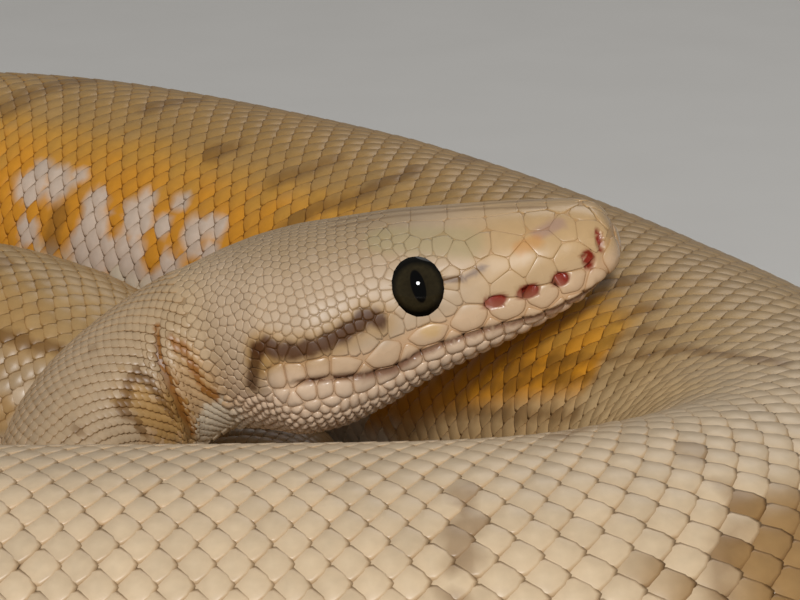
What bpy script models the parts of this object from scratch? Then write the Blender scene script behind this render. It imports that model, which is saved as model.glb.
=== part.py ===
"""A ball python resting in a loose coil, life size, in metres with +Z up.

The body is one long loft along a spine, parted by thin cuts into named lengths. The spine starts at the
back of the head, drops into the middle of the coil, turns under the head and winds outward to the tail.
Every length from the neck down lies on a narrow flat belly at z = 0. The head is a loft of its own, with
the lower jaw cut free along the mouth and the two eyes set in sockets.
"""
import math

import bmesh
import bpy
import numpy as np
from mathutils import Vector

NAME = "coiled_ball_python"
MM = 0.001
GAP = 0.3 * MM

# Head: the snout tip, the axis that runs back from it, and the place where the neck begins.
SNOUT = np.array([22.5, 8.0, 49.0]) * MM
HEAD_LENGTH = 46.0 * MM
HEAD_PITCH = math.radians(17.2)
HEAD_YAW = math.radians(-1.2)
# Distance back from the snout, then crown above the axis, throat below it, and half the width.
HEAD_STATIONS = (
    (0.0, 1.8, -1.0, 2.8),
    (1.2, 4.4, -2.4, 5.0),
    (3.3, 5.6, -3.6, 6.4),
    (7.0, 6.6, -4.9, 7.8),
    (12.0, 7.8, -6.1, 9.0),
    (18.0, 9.1, -7.1, 10.2),
    (24.0, 10.3, -8.2, 11.2),
    (30.0, 11.0, -9.8, 12.8),
    (35.0, 11.5, -10.5, 14.0),
    (39.0, 11.6, -10.4, 14.0),
    (42.5, 11.5, -9.6, 12.2),
    (46.0, 11.2, -8.8, 10.0),
)
HEAD_RINGS = 17
HEAD_ROUNDNESS = 2.3
WIDEST_LEVEL = -2.2 * MM
NECK_RISE = 1.2 * MM
# The mouth, from in front of the lip to its corner, and then down behind the jaw: back, up.
MOUTH = ((-3.0, -2.4), (2.5, -2.6), (6.4, -3.1), (10.0, -3.5), (12.7, -3.2), (16.0, -2.8), (20.0, -2.7),
         (24.3, -2.9), (27.1, -3.6), (30.3, -3.0), (33.6, -1.9), (36.7, -1.4), (39.0, -1.2), (41.5, -4.5),
         (43.0, -14.0))
EYE_BACK = 22.5 * MM
EYE_UP = 2.7 * MM
EYE_OUT = 6.75 * MM
EYE_RADIUS = 4.2 * MM

# Spine behind the head: x, y and how far each place is lifted above its rest on the floor.
SPINE = (
    (-30.0, 7.0, 23.3), (-36.5, 0.5, 17.5), (-36.5, -9.0, 9.7), (-30.0, -15.5, 3.2),
    (-20.5, -14.5, 0.2), (-14.5, -4.5, 0.0), (-15.5, 9.5, 0.0), (-25.0, 23.0, 0.6), (-38.5, 32.5, 2.4),
    (-55.0, 38.5, 3.0), (-76.0, 38.0, 1.2), (-97.0, 25.0, 0.0), (-109.0, 0.0, 0.0),
    (-99.5, -28.5, 0.0), (-74.5, -47.5, 0.0), (-40.0, -52.3, 0.0), (-10.0, -51.8, 0.0),
    (17.0, -47.8, 0.0), (35.5, -32.5, 0.0), (39.5, -13.0, 0.0), (33.0, 9.0, 0.0),
    (18.3, 35.1, 0.0), (-2.0, 61.0, 0.0), (-28.5, 85.5, 0.0), (-58.0, 102.5, 0.0),
    (-97.0, 99.0, 0.0), (-135.0, 70.0, 0.0), (-156.5, 24.0, 0.0), (-154.5, -23.0, 0.0),
    (-130.0, -65.0, 0.0), (-88.0, -90.5, 0.0), (-41.0, -97.0, 0.0), (4.0, -90.0, 0.0),
    (37.0, -72.0, 0.0), (51.0, -54.0, 0.0),
)
# Share of the whole length from the snout, then the body's radius there.
GIRTH = (
    (0.000, 10.0), (0.043, 10.0), (0.054, 9.8), (0.072, 9.7), (0.091, 10.2), (0.109, 11.2), (0.120, 12.2),
    (0.132, 13.8), (0.145, 15.9), (0.158, 18.0), (0.175, 19.8), (0.200, 21.2), (0.226, 22.0),
    (0.272, 23.4), (0.330, 24.7), (0.395, 24.7), (0.440, 23.8), (0.470, 23.8), (0.520, 24.5), (0.590, 24.5),
    (0.640, 23.3), (0.725, 20.4), (0.815, 16.8), (0.870, 13.8), (0.906, 11.5), (0.951, 7.9), (0.983, 4.2),
    (1.000, 1.6),
)
WIDER = 0.035
LOWER = 0.030
PINCH = 0.90
ROUND_NECK = 20.0 * MM
FULL_FLATTENING = 100.0 * MM
BELLY_LEVEL = 0.93
SIDES = 24

# Lengths: a new one starts after so much bend or so much length.
LENGTH_BEND = math.radians(42.0)
LENGTH_LIMIT = 78.0 * MM
NECK_END = 0.105
VENT = 0.905
RING_SPACING = 0.47
LEAST_SPACING = 3.6 * MM
STEP = 1.0 * MM

CREAM = (0.72, 0.60, 0.44)
HEAD_CREAM = (0.76, 0.66, 0.54)
JAW_CREAM = (0.80, 0.70, 0.60)
TAIL_TAN = (0.66, 0.52, 0.34)
EYE_OLIVE = (0.045, 0.042, 0.025)


def clear_scene():
    for old in list(bpy.data.objects):
        bpy.data.objects.remove(old, do_unlink=True)


def new_collection(name):
    collection = bpy.data.collections.new(name)
    bpy.context.scene.collection.children.link(collection)
    return collection


def finish_material(name, colour, roughness):
    material = bpy.data.materials.new(name)
    material.use_nodes = True
    shader = material.node_tree.nodes["Principled BSDF"]
    shader.inputs["Base Color"].default_value = (*colour, 1.0)
    shader.inputs["Roughness"].default_value = roughness
    shader.inputs["Metallic"].default_value = 0.0
    return material


def add_mesh_object(name, mesh, collection, colour, roughness):
    piece = bpy.data.objects.new(name, mesh)
    mesh.materials.append(finish_material(name + "_finish", colour, roughness))
    mesh.shade_smooth()
    mesh.set_sharp_from_angle(angle=math.radians(50.0))
    collection.objects.link(piece)
    return piece


def loft(name, rings):
    """A closed mesh through rings of points, capped flat at both ends."""
    bm = bmesh.new()
    rows = [[bm.verts.new(Vector(point)) for point in ring] for ring in rings]
    count = len(rows[0])
    for row, following in zip(rows, rows[1:]):
        for i in range(count):
            j = (i + 1) % count
            bm.faces.new((row[i], row[j], following[j], following[i]))
    bm.faces.new(list(reversed(rows[0])))
    bm.faces.new(rows[-1])
    bmesh.ops.recalc_face_normals(bm, faces=bm.faces)
    mesh = bpy.data.meshes.new(name)
    bm.to_mesh(mesh)
    bm.free()
    return mesh


def smooth_rows(rows, place):
    """Values between table rows, with a slope at each row that never overshoots."""
    table = np.array(rows, dtype=float)
    x, y = table[:, 0], table[:, 1:]
    steps = np.diff(x)[:, None]
    slopes = np.diff(y, axis=0) / steps
    inner = np.where(slopes[:-1] * slopes[1:] > 0.0,
                     2.0 * slopes[:-1] * slopes[1:] / (slopes[:-1] + slopes[1:] + 1e-12), 0.0)
    tangents = np.vstack([slopes[:1], inner, slopes[-1:]])
    i = int(np.clip(np.searchsorted(x, place) - 1, 0, len(x) - 2))
    h = x[i + 1] - x[i]
    t = (place - x[i]) / h
    return ((2 * t**3 - 3 * t**2 + 1) * y[i] + (t**3 - 2 * t**2 + t) * h * tangents[i]
            + (3 * t**2 - 2 * t**3) * y[i + 1] + (t**3 - t**2) * h * tangents[i + 1])


def head_axes():
    """The head's own directions: back along its axis, towards its left side, and up."""
    level = math.cos(HEAD_PITCH)
    back = np.array([-level * math.cos(HEAD_YAW), -level * math.sin(HEAD_YAW), -math.sin(HEAD_PITCH)])
    side = np.cross(back, (0.0, 0.0, 1.0))
    side /= np.linalg.norm(side)
    return back, side, np.cross(side, back)


def head_point(back, side, up):
    axis, across, above = head_axes()
    return SNOUT + axis * back + across * side + above * up


def head_ring(place):
    """One section of the head, widest at the lip and rounded above and below it."""
    top, bottom, half_width = smooth_rows(HEAD_STATIONS, place / MM) * MM
    reach = min(1.0, place / (6.0 * MM))
    into_neck = smoothstep((place - 36.0 * MM) / (10.0 * MM))
    centre = WIDEST_LEVEL * reach * (1.0 - into_neck) + NECK_RISE * into_neck
    power = 2.0 / (HEAD_ROUNDNESS + (2.0 - HEAD_ROUNDNESS) * into_neck)
    ring = []
    for i in range(SIDES):
        angle = 2.0 * math.pi * i / SIDES
        c, s = math.cos(angle), math.sin(angle)
        side = half_width * math.copysign(abs(c) ** power, c)
        height = (top - centre) if s > 0.0 else (centre - bottom)
        ring.append(head_point(place, side, centre + height * math.copysign(abs(s) ** power, s)))
    return ring


def smoothstep(value):
    t = min(1.0, max(0.0, value))
    return t * t * (3.0 - 2.0 * t)


def spine_curve():
    """A smooth curve through the spine's places that leaves the head along the head's axis."""
    axis = head_axes()[0]
    start = head_point(HEAD_LENGTH, 0.0, NECK_RISE)
    lift = start[2] - BELLY_LEVEL * GIRTH[0][1] * MM
    knots = np.vstack([[start[0], start[1], lift], np.array(SPINE) * MM])
    spans = np.linalg.norm(np.diff(knots, axis=0), axis=1)
    count = len(knots)
    matrix = np.zeros((count, count))
    right = np.zeros((count, 3))
    matrix[0, :2] = 2.0 * spans[0], spans[0]
    right[0] = 6.0 * ((knots[1] - knots[0]) / spans[0] - axis)
    for i in range(1, count - 1):
        matrix[i, i - 1:i + 2] = spans[i - 1], 2.0 * (spans[i - 1] + spans[i]), spans[i]
        right[i] = 6.0 * ((knots[i + 1] - knots[i]) / spans[i] - (knots[i] - knots[i - 1]) / spans[i - 1])
    matrix[-1, -1] = 1.0
    bends = np.linalg.solve(matrix, right)
    points = []
    for i in range(count - 1):
        h = spans[i]
        cubic = (bends[i + 1] - bends[i]) / (6.0 * h)
        linear = (knots[i + 1] - knots[i]) / h - h * (2.0 * bends[i] + bends[i + 1]) / 6.0
        for t in np.linspace(0.0, h, 40, endpoint=False):
            points.append(knots[i] + linear * t + bends[i] / 2.0 * t * t + cubic * t**3)
    points.append(knots[-1])
    points = np.array(points)
    points[:, 2] = np.maximum(points[:, 2], 0.0)
    travelled = np.concatenate([[0.0], np.cumsum(np.linalg.norm(np.diff(points, axis=0), axis=1))])
    places = np.arange(0.0, travelled[-1], STEP)
    return places, np.stack([np.interp(places, travelled, points[:, k]) for k in range(3)], axis=1)


class Spine:
    """The body behind the head: its middle line, its directions and its size at each place."""

    def __init__(self):
        self.places, self.route = spine_curve()
        self.length = float(self.places[-1])
        forward = np.gradient(self.route, axis=0)
        forward[0] = head_axes()[0] * STEP
        self.forward = forward / np.linalg.norm(forward, axis=1)[:, None]
        turn = np.linalg.norm(np.diff(self.forward, axis=0), axis=1)
        self.turned = np.concatenate([[0.0], np.cumsum(turn)])
        heading = np.unwrap(np.arctan2(self.forward[:, 1], self.forward[:, 0]))
        self.bend = np.gradient(heading, self.places)
        self.whole = self.length + HEAD_LENGTH

    def at(self, values, place):
        return np.array([np.interp(place, self.places, values[:, k]) for k in range(3)])

    def radius(self, place):
        share = (place + HEAD_LENGTH) / self.whole
        shares = [row[0] for row in GIRTH]
        return float(np.interp(share, shares, [row[1] for row in GIRTH])) * MM

    def ring(self, place, shift=0.0):
        """One upright section with a flat belly, square to the spine and moved along it by the shift."""
        radius = self.radius(place)
        flattening = min(1.0, max(0.0, (place - ROUND_NECK) / (FULL_FLATTENING - ROUND_NECK)))
        half_width = radius * (1.0 + WIDER * flattening)
        half_height = radius * (1.0 - LOWER * flattening)
        bend = float(np.interp(place, self.places, self.bend))
        inner_width = (half_width**-8 + (abs(bend) / PINCH)**8) ** (-1 / 8)
        forward = self.at(self.forward, place)
        forward /= np.linalg.norm(forward)
        side = np.cross(forward, (0.0, 0.0, 1.0))
        side /= np.linalg.norm(side)
        above = np.cross(side, forward)
        centre = self.at(self.route, place) + forward * shift
        centre[2] += BELLY_LEVEL * half_height
        ring = []
        for i in range(SIDES):
            angle = 2.0 * math.pi * i / SIDES
            rise = max(math.sin(angle), -BELLY_LEVEL)
            across = math.cos(angle)
            width = inner_width if across * bend < 0.0 else half_width
            ring.append(centre + side * width * across + above * half_height * rise)
        return ring

    def cuts(self):
        """Places where one length ends and the next begins, closer together in tight bends."""
        cuts = [0.0]
        last_turn = 0.0
        for place, turned in zip(self.places, self.turned):
            bent = turned - last_turn > LENGTH_BEND
            long_enough = place - cuts[-1] > LENGTH_LIMIT
            if (bent or long_enough) and self.length - place > 0.4 * LENGTH_LIMIT:
                cuts.append(float(place))
                last_turn = turned
        cuts.append(self.length)
        return cuts


def make_lengths(collection):
    spine = Spine()
    cuts = spine.cuts()
    counts = {}
    for start, end in zip(cuts, cuts[1:]):
        share = (0.5 * (start + end) + HEAD_LENGTH) / spine.whole
        part = "neck" if share < NECK_END else ("trunk" if share < VENT else "tail")
        counts[part] = counts.get(part, 0) + 1
        name = f"{part}_{counts[part]:02d}"
        spacing = max(LEAST_SPACING, RING_SPACING * spine.radius(0.5 * (start + end)))
        steps = max(2, math.ceil((end - start) / spacing))
        places = np.linspace(start, end, steps + 1)
        rings = [spine.ring(start, GAP if start == 0.0 else GAP / 2.0)]
        rings += [spine.ring(place) for place in places[1:-1]]
        rings.append(spine.ring(end, 0.0 if end == cuts[-1] else -GAP / 2.0))
        colour = TAIL_TAN if part == "tail" else CREAM
        add_mesh_object(name, loft(name, rings), collection, colour, 0.45)


def mouth_cutter(name, spread, collection):
    """A block that holds everything below the mouth line, grown by the given gap."""
    line = [(back * MM, up * MM + spread) for back, up in MOUTH[:-2]]
    line += [(back * MM + spread, up * MM) for back, up in MOUTH[-2:]]
    line.append((MOUTH[0][0] * MM, MOUTH[-1][1] * MM))
    reach = 20.0 * MM
    rings = [[head_point(back, side, up) for back, up in line] for side in (-reach, reach)]
    cutter = bpy.data.objects.new(name, loft(name, rings))
    return hide_cutter(cutter, collection)


def ball(name, radius, side):
    bm = bmesh.new()
    bmesh.ops.create_uvsphere(bm, u_segments=16, v_segments=10, radius=radius)
    mesh = bpy.data.meshes.new(name)
    bm.to_mesh(mesh)
    bm.free()
    piece = bpy.data.objects.new(name, mesh)
    piece.location = Vector(head_point(EYE_BACK, side * EYE_OUT, EYE_UP))
    return piece


def hide_cutter(cutter, collection):
    cutter.hide_render = True
    cutter.display_type = "WIRE"
    collection.objects.link(cutter)
    return cutter


def cut(piece, cutter, operation):
    modifier = piece.modifiers.new(cutter.name, "BOOLEAN")
    modifier.operation = operation
    modifier.solver = "EXACT"
    modifier.object = cutter


def make_head(collection, cutters):
    places = [HEAD_LENGTH * (i / (HEAD_RINGS - 1)) ** 1.35 for i in range(HEAD_RINGS)]
    rings = [head_ring(place) for place in places]
    head = add_mesh_object("head", loft("head", rings), collection, HEAD_CREAM, 0.35)
    jaw = add_mesh_object("lower_jaw", loft("lower_jaw", rings), collection, JAW_CREAM, 0.35)
    cut(head, mouth_cutter("mouth_above", GAP, cutters), "DIFFERENCE")
    cut(jaw, mouth_cutter("mouth_below", 0.0, cutters), "INTERSECT")
    for name, side in (("left", 1.0), ("right", -1.0)):
        socket = hide_cutter(ball(f"socket_{name}", EYE_RADIUS + GAP, side), cutters)
        cut(head, socket, "DIFFERENCE")
        eye = ball(f"eye_{name}", EYE_RADIUS, side)
        eye.data.materials.append(finish_material(f"eye_{name}_finish", EYE_OLIVE, 0.05))
        eye.data.shade_smooth()
        collection.objects.link(eye)


def centre_on_floor(collections):
    """Moves everything sideways so that the middle of the coil's box is over the origin."""
    bpy.context.view_layer.update()
    corners = [piece.matrix_world @ Vector(corner)
               for piece in collections[0].objects for corner in piece.bound_box]
    middle_x = (min(c.x for c in corners) + max(c.x for c in corners)) / 2.0
    middle_y = (min(c.y for c in corners) + max(c.y for c in corners)) / 2.0
    for collection in collections:
        for piece in collection.objects:
            piece.location.x -= middle_x
            piece.location.y -= middle_y
    print("centre shift", round(middle_x, 6), round(middle_y, 6))


def main():
    clear_scene()
    parts = new_collection(NAME)
    cutters = new_collection("cutters")
    make_head(parts, cutters)
    make_lengths(parts)
    centre_on_floor((parts, cutters))


main()
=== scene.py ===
"""A ball python resting in a loose coil: one skin, a coat of solid scales, head plates and wet eyes.

The skin follows the same spine and head sections as the solids, a little inside them. Everything on the
animal is placed by two coordinates: how far along it lies from the snout, and its turn round the body from
the middle of the back, positive on the right side. Metres, +Z up.
"""
import math

import bmesh
import bpy
import numpy as np
from mathutils import Matrix, Vector
from mathutils.bvhtree import BVHTree


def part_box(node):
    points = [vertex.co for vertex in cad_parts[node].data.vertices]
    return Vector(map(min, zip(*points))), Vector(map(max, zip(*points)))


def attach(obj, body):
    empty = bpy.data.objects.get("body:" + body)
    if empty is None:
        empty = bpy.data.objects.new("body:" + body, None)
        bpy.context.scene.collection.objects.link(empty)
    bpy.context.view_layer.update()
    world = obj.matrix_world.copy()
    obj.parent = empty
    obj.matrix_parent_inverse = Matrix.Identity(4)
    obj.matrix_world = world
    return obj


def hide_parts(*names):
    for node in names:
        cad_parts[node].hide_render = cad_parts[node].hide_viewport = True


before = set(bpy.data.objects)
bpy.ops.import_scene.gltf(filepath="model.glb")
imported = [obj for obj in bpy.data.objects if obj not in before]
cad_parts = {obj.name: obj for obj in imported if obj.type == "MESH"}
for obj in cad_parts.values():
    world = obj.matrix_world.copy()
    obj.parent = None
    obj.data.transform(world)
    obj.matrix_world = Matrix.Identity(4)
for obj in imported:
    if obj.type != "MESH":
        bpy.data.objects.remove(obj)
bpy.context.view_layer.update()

MM = 0.001

# Head: its tip, its axis, its sections and its mouth line, as in the solids.
SNOUT = np.array([22.5, 8.0, 49.0]) * MM
HEAD_LENGTH = 46.0 * MM
HEAD_PITCH = math.radians(17.2)
HEAD_YAW = math.radians(-1.2)
HEAD_STATIONS = (
    (0.0, 1.8, -1.0, 2.8),
    (1.2, 4.4, -2.4, 5.0),
    (3.3, 5.6, -3.6, 6.4),
    (7.0, 6.6, -4.9, 7.8),
    (12.0, 7.8, -6.1, 9.0),
    (18.0, 9.1, -7.1, 10.2),
    (24.0, 10.3, -8.2, 11.2),
    (30.0, 11.0, -9.8, 12.8),
    (35.0, 11.5, -10.5, 14.0),
    (39.0, 11.6, -10.4, 14.0),
    (42.5, 11.5, -9.6, 12.2),
    (46.0, 11.2, -8.8, 10.0),
)
HEAD_ROUNDNESS = 2.3
WIDEST_LEVEL = -2.2 * MM
NECK_RISE = 1.2 * MM
NECK_FROM = 36.0 * MM
NECK_BLEND = 10.0 * MM
MOUTH = ((-3.0, -2.4), (2.5, -2.6), (6.4, -3.1), (10.0, -3.5), (12.7, -3.2), (16.0, -2.8), (20.0, -2.7),
         (24.3, -2.9), (27.1, -3.6), (30.3, -3.0), (33.6, -1.9), (36.7, -1.4), (39.0, -1.2))
EYE_BACK = 22.5 * MM
EYE_UP = 2.7 * MM
EYE_OUT = 6.75 * MM
# The open part of each eye: its middle on the head, the opening's radius, its curve and how far it bulges.
EYE_SEAT_BACK = 22.1 * MM
EYE_SEAT_OUT = 9.7 * MM
EYE_SEAT_UP = 4.1 * MM
EYE_OPENING = 2.80 * MM
EYE_LOWER = 0.91
EYE_CURVE = 4.4 * MM
EYE_BULGE = 1.0 * MM

# Spine behind the head: x, y and lift above its rest on the floor, in mm.
SPINE = (
    (-30.0, 7.0, 23.3), (-36.5, 0.5, 17.5), (-36.5, -9.0, 9.7), (-30.0, -15.5, 3.2),
    (-20.5, -14.5, 0.2), (-14.5, -4.5, 0.0), (-15.5, 9.5, 0.0), (-25.0, 23.0, 0.6), (-38.5, 32.5, 2.4),
    (-55.0, 38.5, 3.0), (-76.0, 38.0, 1.2), (-97.0, 25.0, 0.0), (-109.0, 0.0, 0.0),
    (-99.5, -28.5, 0.0), (-74.5, -47.5, 0.0), (-40.0, -52.3, 0.0), (-10.0, -51.8, 0.0),
    (17.0, -47.8, 0.0), (35.5, -32.5, 0.0), (39.5, -13.0, 0.0), (33.0, 9.0, 0.0),
    (18.3, 35.1, 0.0), (-2.0, 61.0, 0.0), (-28.5, 85.5, 0.0), (-58.0, 102.5, 0.0),
    (-97.0, 99.0, 0.0), (-135.0, 70.0, 0.0), (-156.5, 24.0, 0.0), (-154.5, -23.0, 0.0),
    (-130.0, -65.0, 0.0), (-88.0, -90.5, 0.0), (-41.0, -97.0, 0.0), (4.0, -90.0, 0.0),
    (37.0, -72.0, 0.0), (51.0, -54.0, 0.0),
)
# The body's radius in mm at shares of the whole length.
GIRTH = (
    (0.000, 10.0), (0.043, 10.0), (0.054, 9.8), (0.072, 9.7), (0.091, 10.2), (0.109, 11.2), (0.120, 12.2),
    (0.132, 13.8), (0.145, 15.9), (0.158, 18.0), (0.175, 19.8), (0.200, 21.2), (0.226, 22.0),
    (0.272, 23.4), (0.330, 24.7), (0.395, 24.7), (0.440, 23.8), (0.470, 23.8), (0.520, 24.5), (0.590, 24.5),
    (0.640, 23.3), (0.725, 20.4), (0.815, 16.8), (0.870, 13.8), (0.906, 11.5), (0.951, 7.9), (0.983, 4.2),
    (1.000, 1.6),
)
CURVE_STEPS = 40
# The body's section: a little wider and lower than round behind the neck, drawn in where a loop is tight.
WIDER = 0.035
LOWER = 0.030
PINCH = 0.90
PINCH_POWER = 8.0
ROUND_NECK = 20.0 * MM
FULL_FLATTENING = 100.0 * MM
BELLY_LEVEL = 0.93
# The fold in the skin of the right side of the neck: turns in degrees and its places along in mm there.
FOLD_TURNS = (20.0, 37.0, 53.0, 66.0, 83.0, 108.0, 125.0)
FOLD_PLACES = (50.5, 52.0, 54.0, 55.0, 56.0, 57.0, 57.5)
# The fold and the swelling on each side of it: how far on, how deep and how wide, in mm.
FOLD_PARTS = ((0.0, 0.34, 0.50), (1.9, -0.22, 1.4), (-2.1, -0.20, 1.5))

# Rings of the skin: first place, end and step on the head in mm, then the first place on the body. The
# first ring is closed to the snout's tip by smaller ones.
HEAD_RINGS = (0.5, 45.0, 0.36)
BODY_RINGS_FROM = 45.6 * MM
HEAD_SIDES = 192
BODY_SIDES = 64
SNOUT_DOME = (0.25, 0.5, 0.75, 0.9)
# Head plates are seated only on the part of the skin before this place, so none lands on another turn.
HEAD_REGION = 60.0 * MM
SOCKET_DEPTH = 1.9 * MM
MOUTH_DEPTH = 1.05 * MM
UNDERLIP_DEPTH = 0.50 * MM
PIT_DEPTH = 0.9 * MM

# Coat: how far the skin lies inside the solids, at most a share of the radius, and where head becomes body.
HEAD_COAT = 0.16 * MM
BODY_COAT = 0.55 * MM
THICKEST_COAT = 0.25
BODY_FROM = 43.0 * MM
COAT_BLEND = 9.0 * MM
COLOUR_BLEND = 6.0 * MM
# Rows of body scales: where they start and end, how many there are, and a scale's pitch for its radius.
COAT_START = 48.2 * MM
COAT_END_GAP = 2.0 * MM
LATTICE_STEP = 0.5 * MM
ROWS = 57
ROW_SPAN = math.radians(284.0)
PITCH_PER_RADIUS = 0.130
TAIL_START = 0.905
TAIL_ROWS = 28
TAIL_PITCH_PER_RADIUS = 0.26
LEAST_PITCH = 0.8 * MM
SCALE_JITTER = 0.03
MOST_TRIANGLES = 190000
# How far the middle of the back leans outwards behind the neck.
ROLL = math.radians(22.0)
ROLL_FROM = 120.0 * MM
ROLL_TO = 300.0 * MM
# The size of one scale's place in the bake map, and how much the markings change inside a scale.
PATCH = 0.003
SOFTNESS = 0.85

# View: the place looked at, given from the snout, the camera's distance, its fall below level and its lens.
VIEW_AIM = np.array([-24.457, -8.437, -4.344]) * MM
VIEW_DISTANCE = 270.0 * MM
VIEW_FALL = math.radians(18.0)
VIEW_LENS = 111.78

rng = np.random.default_rng(7)


def smoothstep(value):
    t = np.clip(value, 0.0, 1.0)
    return t * t * (3.0 - 2.0 * t)


def smooth_rows(rows, places):
    """Values between table rows at every place, with a slope at each row that never overshoots."""
    table = np.array(rows, dtype=float)
    x, y = table[:, 0], table[:, 1:]
    slopes = np.diff(y, axis=0) / np.diff(x)[:, None]
    inner = np.where(slopes[:-1] * slopes[1:] > 0.0,
                     2.0 * slopes[:-1] * slopes[1:] / (slopes[:-1] + slopes[1:] + 1e-12), 0.0)
    tangents = np.vstack([slopes[:1], inner, slopes[-1:]])
    i = np.clip(np.searchsorted(x, places) - 1, 0, len(x) - 2)
    h = (x[i + 1] - x[i])[:, None]
    t = (np.asarray(places) - x[i])[:, None] / h
    return ((2 * t**3 - 3 * t**2 + 1) * y[i] + (t**3 - 2 * t**2 + t) * h * tangents[i]
            + (3 * t**2 - 2 * t**3) * y[i + 1] + (t**3 - t**2) * h * tangents[i + 1])


def unit(vectors):
    """The same directions at a length of one."""
    return vectors / np.maximum(np.linalg.norm(vectors, axis=-1, keepdims=True), 1e-12)


def make_head_axes():
    """The head's own directions: back, to its left, and up."""
    level = math.cos(HEAD_PITCH)
    back = np.array([-level * math.cos(HEAD_YAW), -level * math.sin(HEAD_YAW), -math.sin(HEAD_PITCH)])
    side = unit(np.cross(back, (0.0, 0.0, 1.0)))
    return back, side, np.cross(side, back)


BACK, LEFT, UP = make_head_axes()
near_eye = (np.array(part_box("eye_right")[0]) + np.array(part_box("eye_right")[1])) / 2.0
SHIFT = (near_eye - (SNOUT + BACK * EYE_BACK - LEFT * EYE_OUT + UP * EYE_UP)) * (1.0, 1.0, 0.0)


def head_point(back, side, up):
    """A place given in the head's own directions, in the shared frame."""
    back, side, up = np.broadcast_arrays(back, side, up)
    return SNOUT + SHIFT + back[..., None] * BACK + side[..., None] * LEFT + up[..., None] * UP


def head_places(points):
    """How far back, to the left and up each point lies in the head's own directions."""
    away = points - (SNOUT + SHIFT)
    return away @ BACK, away @ LEFT, away @ UP


def head_surface(back, angle):
    """The head's outer form, rounder where it runs into the neck."""
    top, bottom, half_width = (smooth_rows(HEAD_STATIONS, back / MM) * MM).T
    into_neck = smoothstep((back - NECK_FROM) / NECK_BLEND)
    centre = WIDEST_LEVEL * np.minimum(1.0, back / (6.0 * MM)) * (1.0 - into_neck) + NECK_RISE * into_neck
    power = 2.0 / (HEAD_ROUNDNESS + (2.0 - HEAD_ROUNDNESS) * into_neck)
    c, s = np.cos(angle), np.sin(angle)
    height = np.where(s > 0.0, top - centre, centre - bottom)
    side = half_width * np.sign(c) * np.abs(c) ** power
    return head_point(back, side, centre + height * np.sign(s) * np.abs(s) ** power)


def spine_curve():
    """The spine's smooth curve, leaving the head along the head's axis, at even steps of a millimetre."""
    start = SNOUT + BACK * HEAD_LENGTH + UP * NECK_RISE
    start[2] -= BELLY_LEVEL * GIRTH[0][1] * MM
    knots = np.vstack([start, np.array(SPINE) * MM])
    spans = np.linalg.norm(np.diff(knots, axis=0), axis=1)
    count = len(knots)
    matrix = np.zeros((count, count))
    right = np.zeros((count, 3))
    matrix[0, :2] = 2.0 * spans[0], spans[0]
    right[0] = 6.0 * ((knots[1] - knots[0]) / spans[0] - BACK)
    for i in range(1, count - 1):
        matrix[i, i - 1:i + 2] = spans[i - 1], 2.0 * (spans[i - 1] + spans[i]), spans[i]
        right[i] = 6.0 * ((knots[i + 1] - knots[i]) / spans[i] - (knots[i] - knots[i - 1]) / spans[i - 1])
    matrix[-1, -1] = 1.0
    bends = np.linalg.solve(matrix, right)
    points = []
    for i in range(count - 1):
        h = spans[i]
        cubic = (bends[i + 1] - bends[i]) / (6.0 * h)
        linear = (knots[i + 1] - knots[i]) / h - h * (2.0 * bends[i] + bends[i + 1]) / 6.0
        for t in np.linspace(0.0, h, CURVE_STEPS, endpoint=False):
            points.append(knots[i] + linear * t + bends[i] / 2.0 * t * t + cubic * t**3)
    points = np.array(points + [knots[-1]])
    points[:, 2] = np.maximum(points[:, 2], 0.0)
    travelled = np.concatenate([[0.0], np.cumsum(np.linalg.norm(np.diff(points, axis=0), axis=1))])
    places = np.arange(0.0, travelled[-1], 1.0 * MM)
    return places, np.stack([np.interp(places, travelled, points[:, k]) for k in range(3)], axis=1)


PLACES, ROUTE = spine_curve()
FORWARD = np.gradient(ROUTE, axis=0)
FORWARD[0] = BACK * MM
FORWARD = unit(FORWARD)
BEND = np.gradient(np.unwrap(np.arctan2(FORWARD[:, 1], FORWARD[:, 0])), PLACES)
WHOLE = PLACES[-1] + HEAD_LENGTH
ROUTE = ROUTE + SHIFT * (1.0, 1.0, 0.0)


def radius_at(along):
    """The body's radius before it is flattened a little."""
    girth = np.array(GIRTH)
    return np.interp(along / WHOLE, girth[:, 0], girth[:, 1]) * MM


def body_surface(along, angle, crease):
    """The body's outer form: flat below, a little wider than high, and drawn in where a loop is tight."""
    place = np.clip(along - HEAD_LENGTH, 0.0, PLACES[-1])
    radius = radius_at(along)
    flattening = np.clip((place - ROUND_NECK) / (FULL_FLATTENING - ROUND_NECK), 0.0, 1.0)
    half_width = radius * (1.0 + WIDER * flattening)
    half_height = radius * (1.0 - LOWER * flattening)
    bend = np.interp(place, PLACES, BEND)
    tightness = (np.abs(bend) / PINCH) ** PINCH_POWER
    inner_width = (half_width**-PINCH_POWER + tightness) ** (-1.0 / PINCH_POWER)
    forward = unit(np.stack([np.interp(place, PLACES, FORWARD[:, k]) for k in range(3)], axis=-1))
    side = unit(np.cross(forward, (0.0, 0.0, 1.0)))
    above = np.cross(side, forward)
    centre = np.stack([np.interp(place, PLACES, ROUTE[:, k]) for k in range(3)], axis=-1)
    centre[..., 2] += BELLY_LEVEL * half_height
    across = np.cos(angle)
    rise = np.maximum(np.sin(angle), -BELLY_LEVEL)
    width = np.where(across * bend < 0.0, inner_width, half_width) - crease
    return centre + side * (width * across)[..., None] + above * ((half_height - crease) * rise)[..., None]


def roll_at(along):
    """How far the back's middle leans outwards on the loops."""
    return ROLL * smoothstep((along - ROLL_FROM) / (ROLL_TO - ROLL_FROM))


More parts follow.
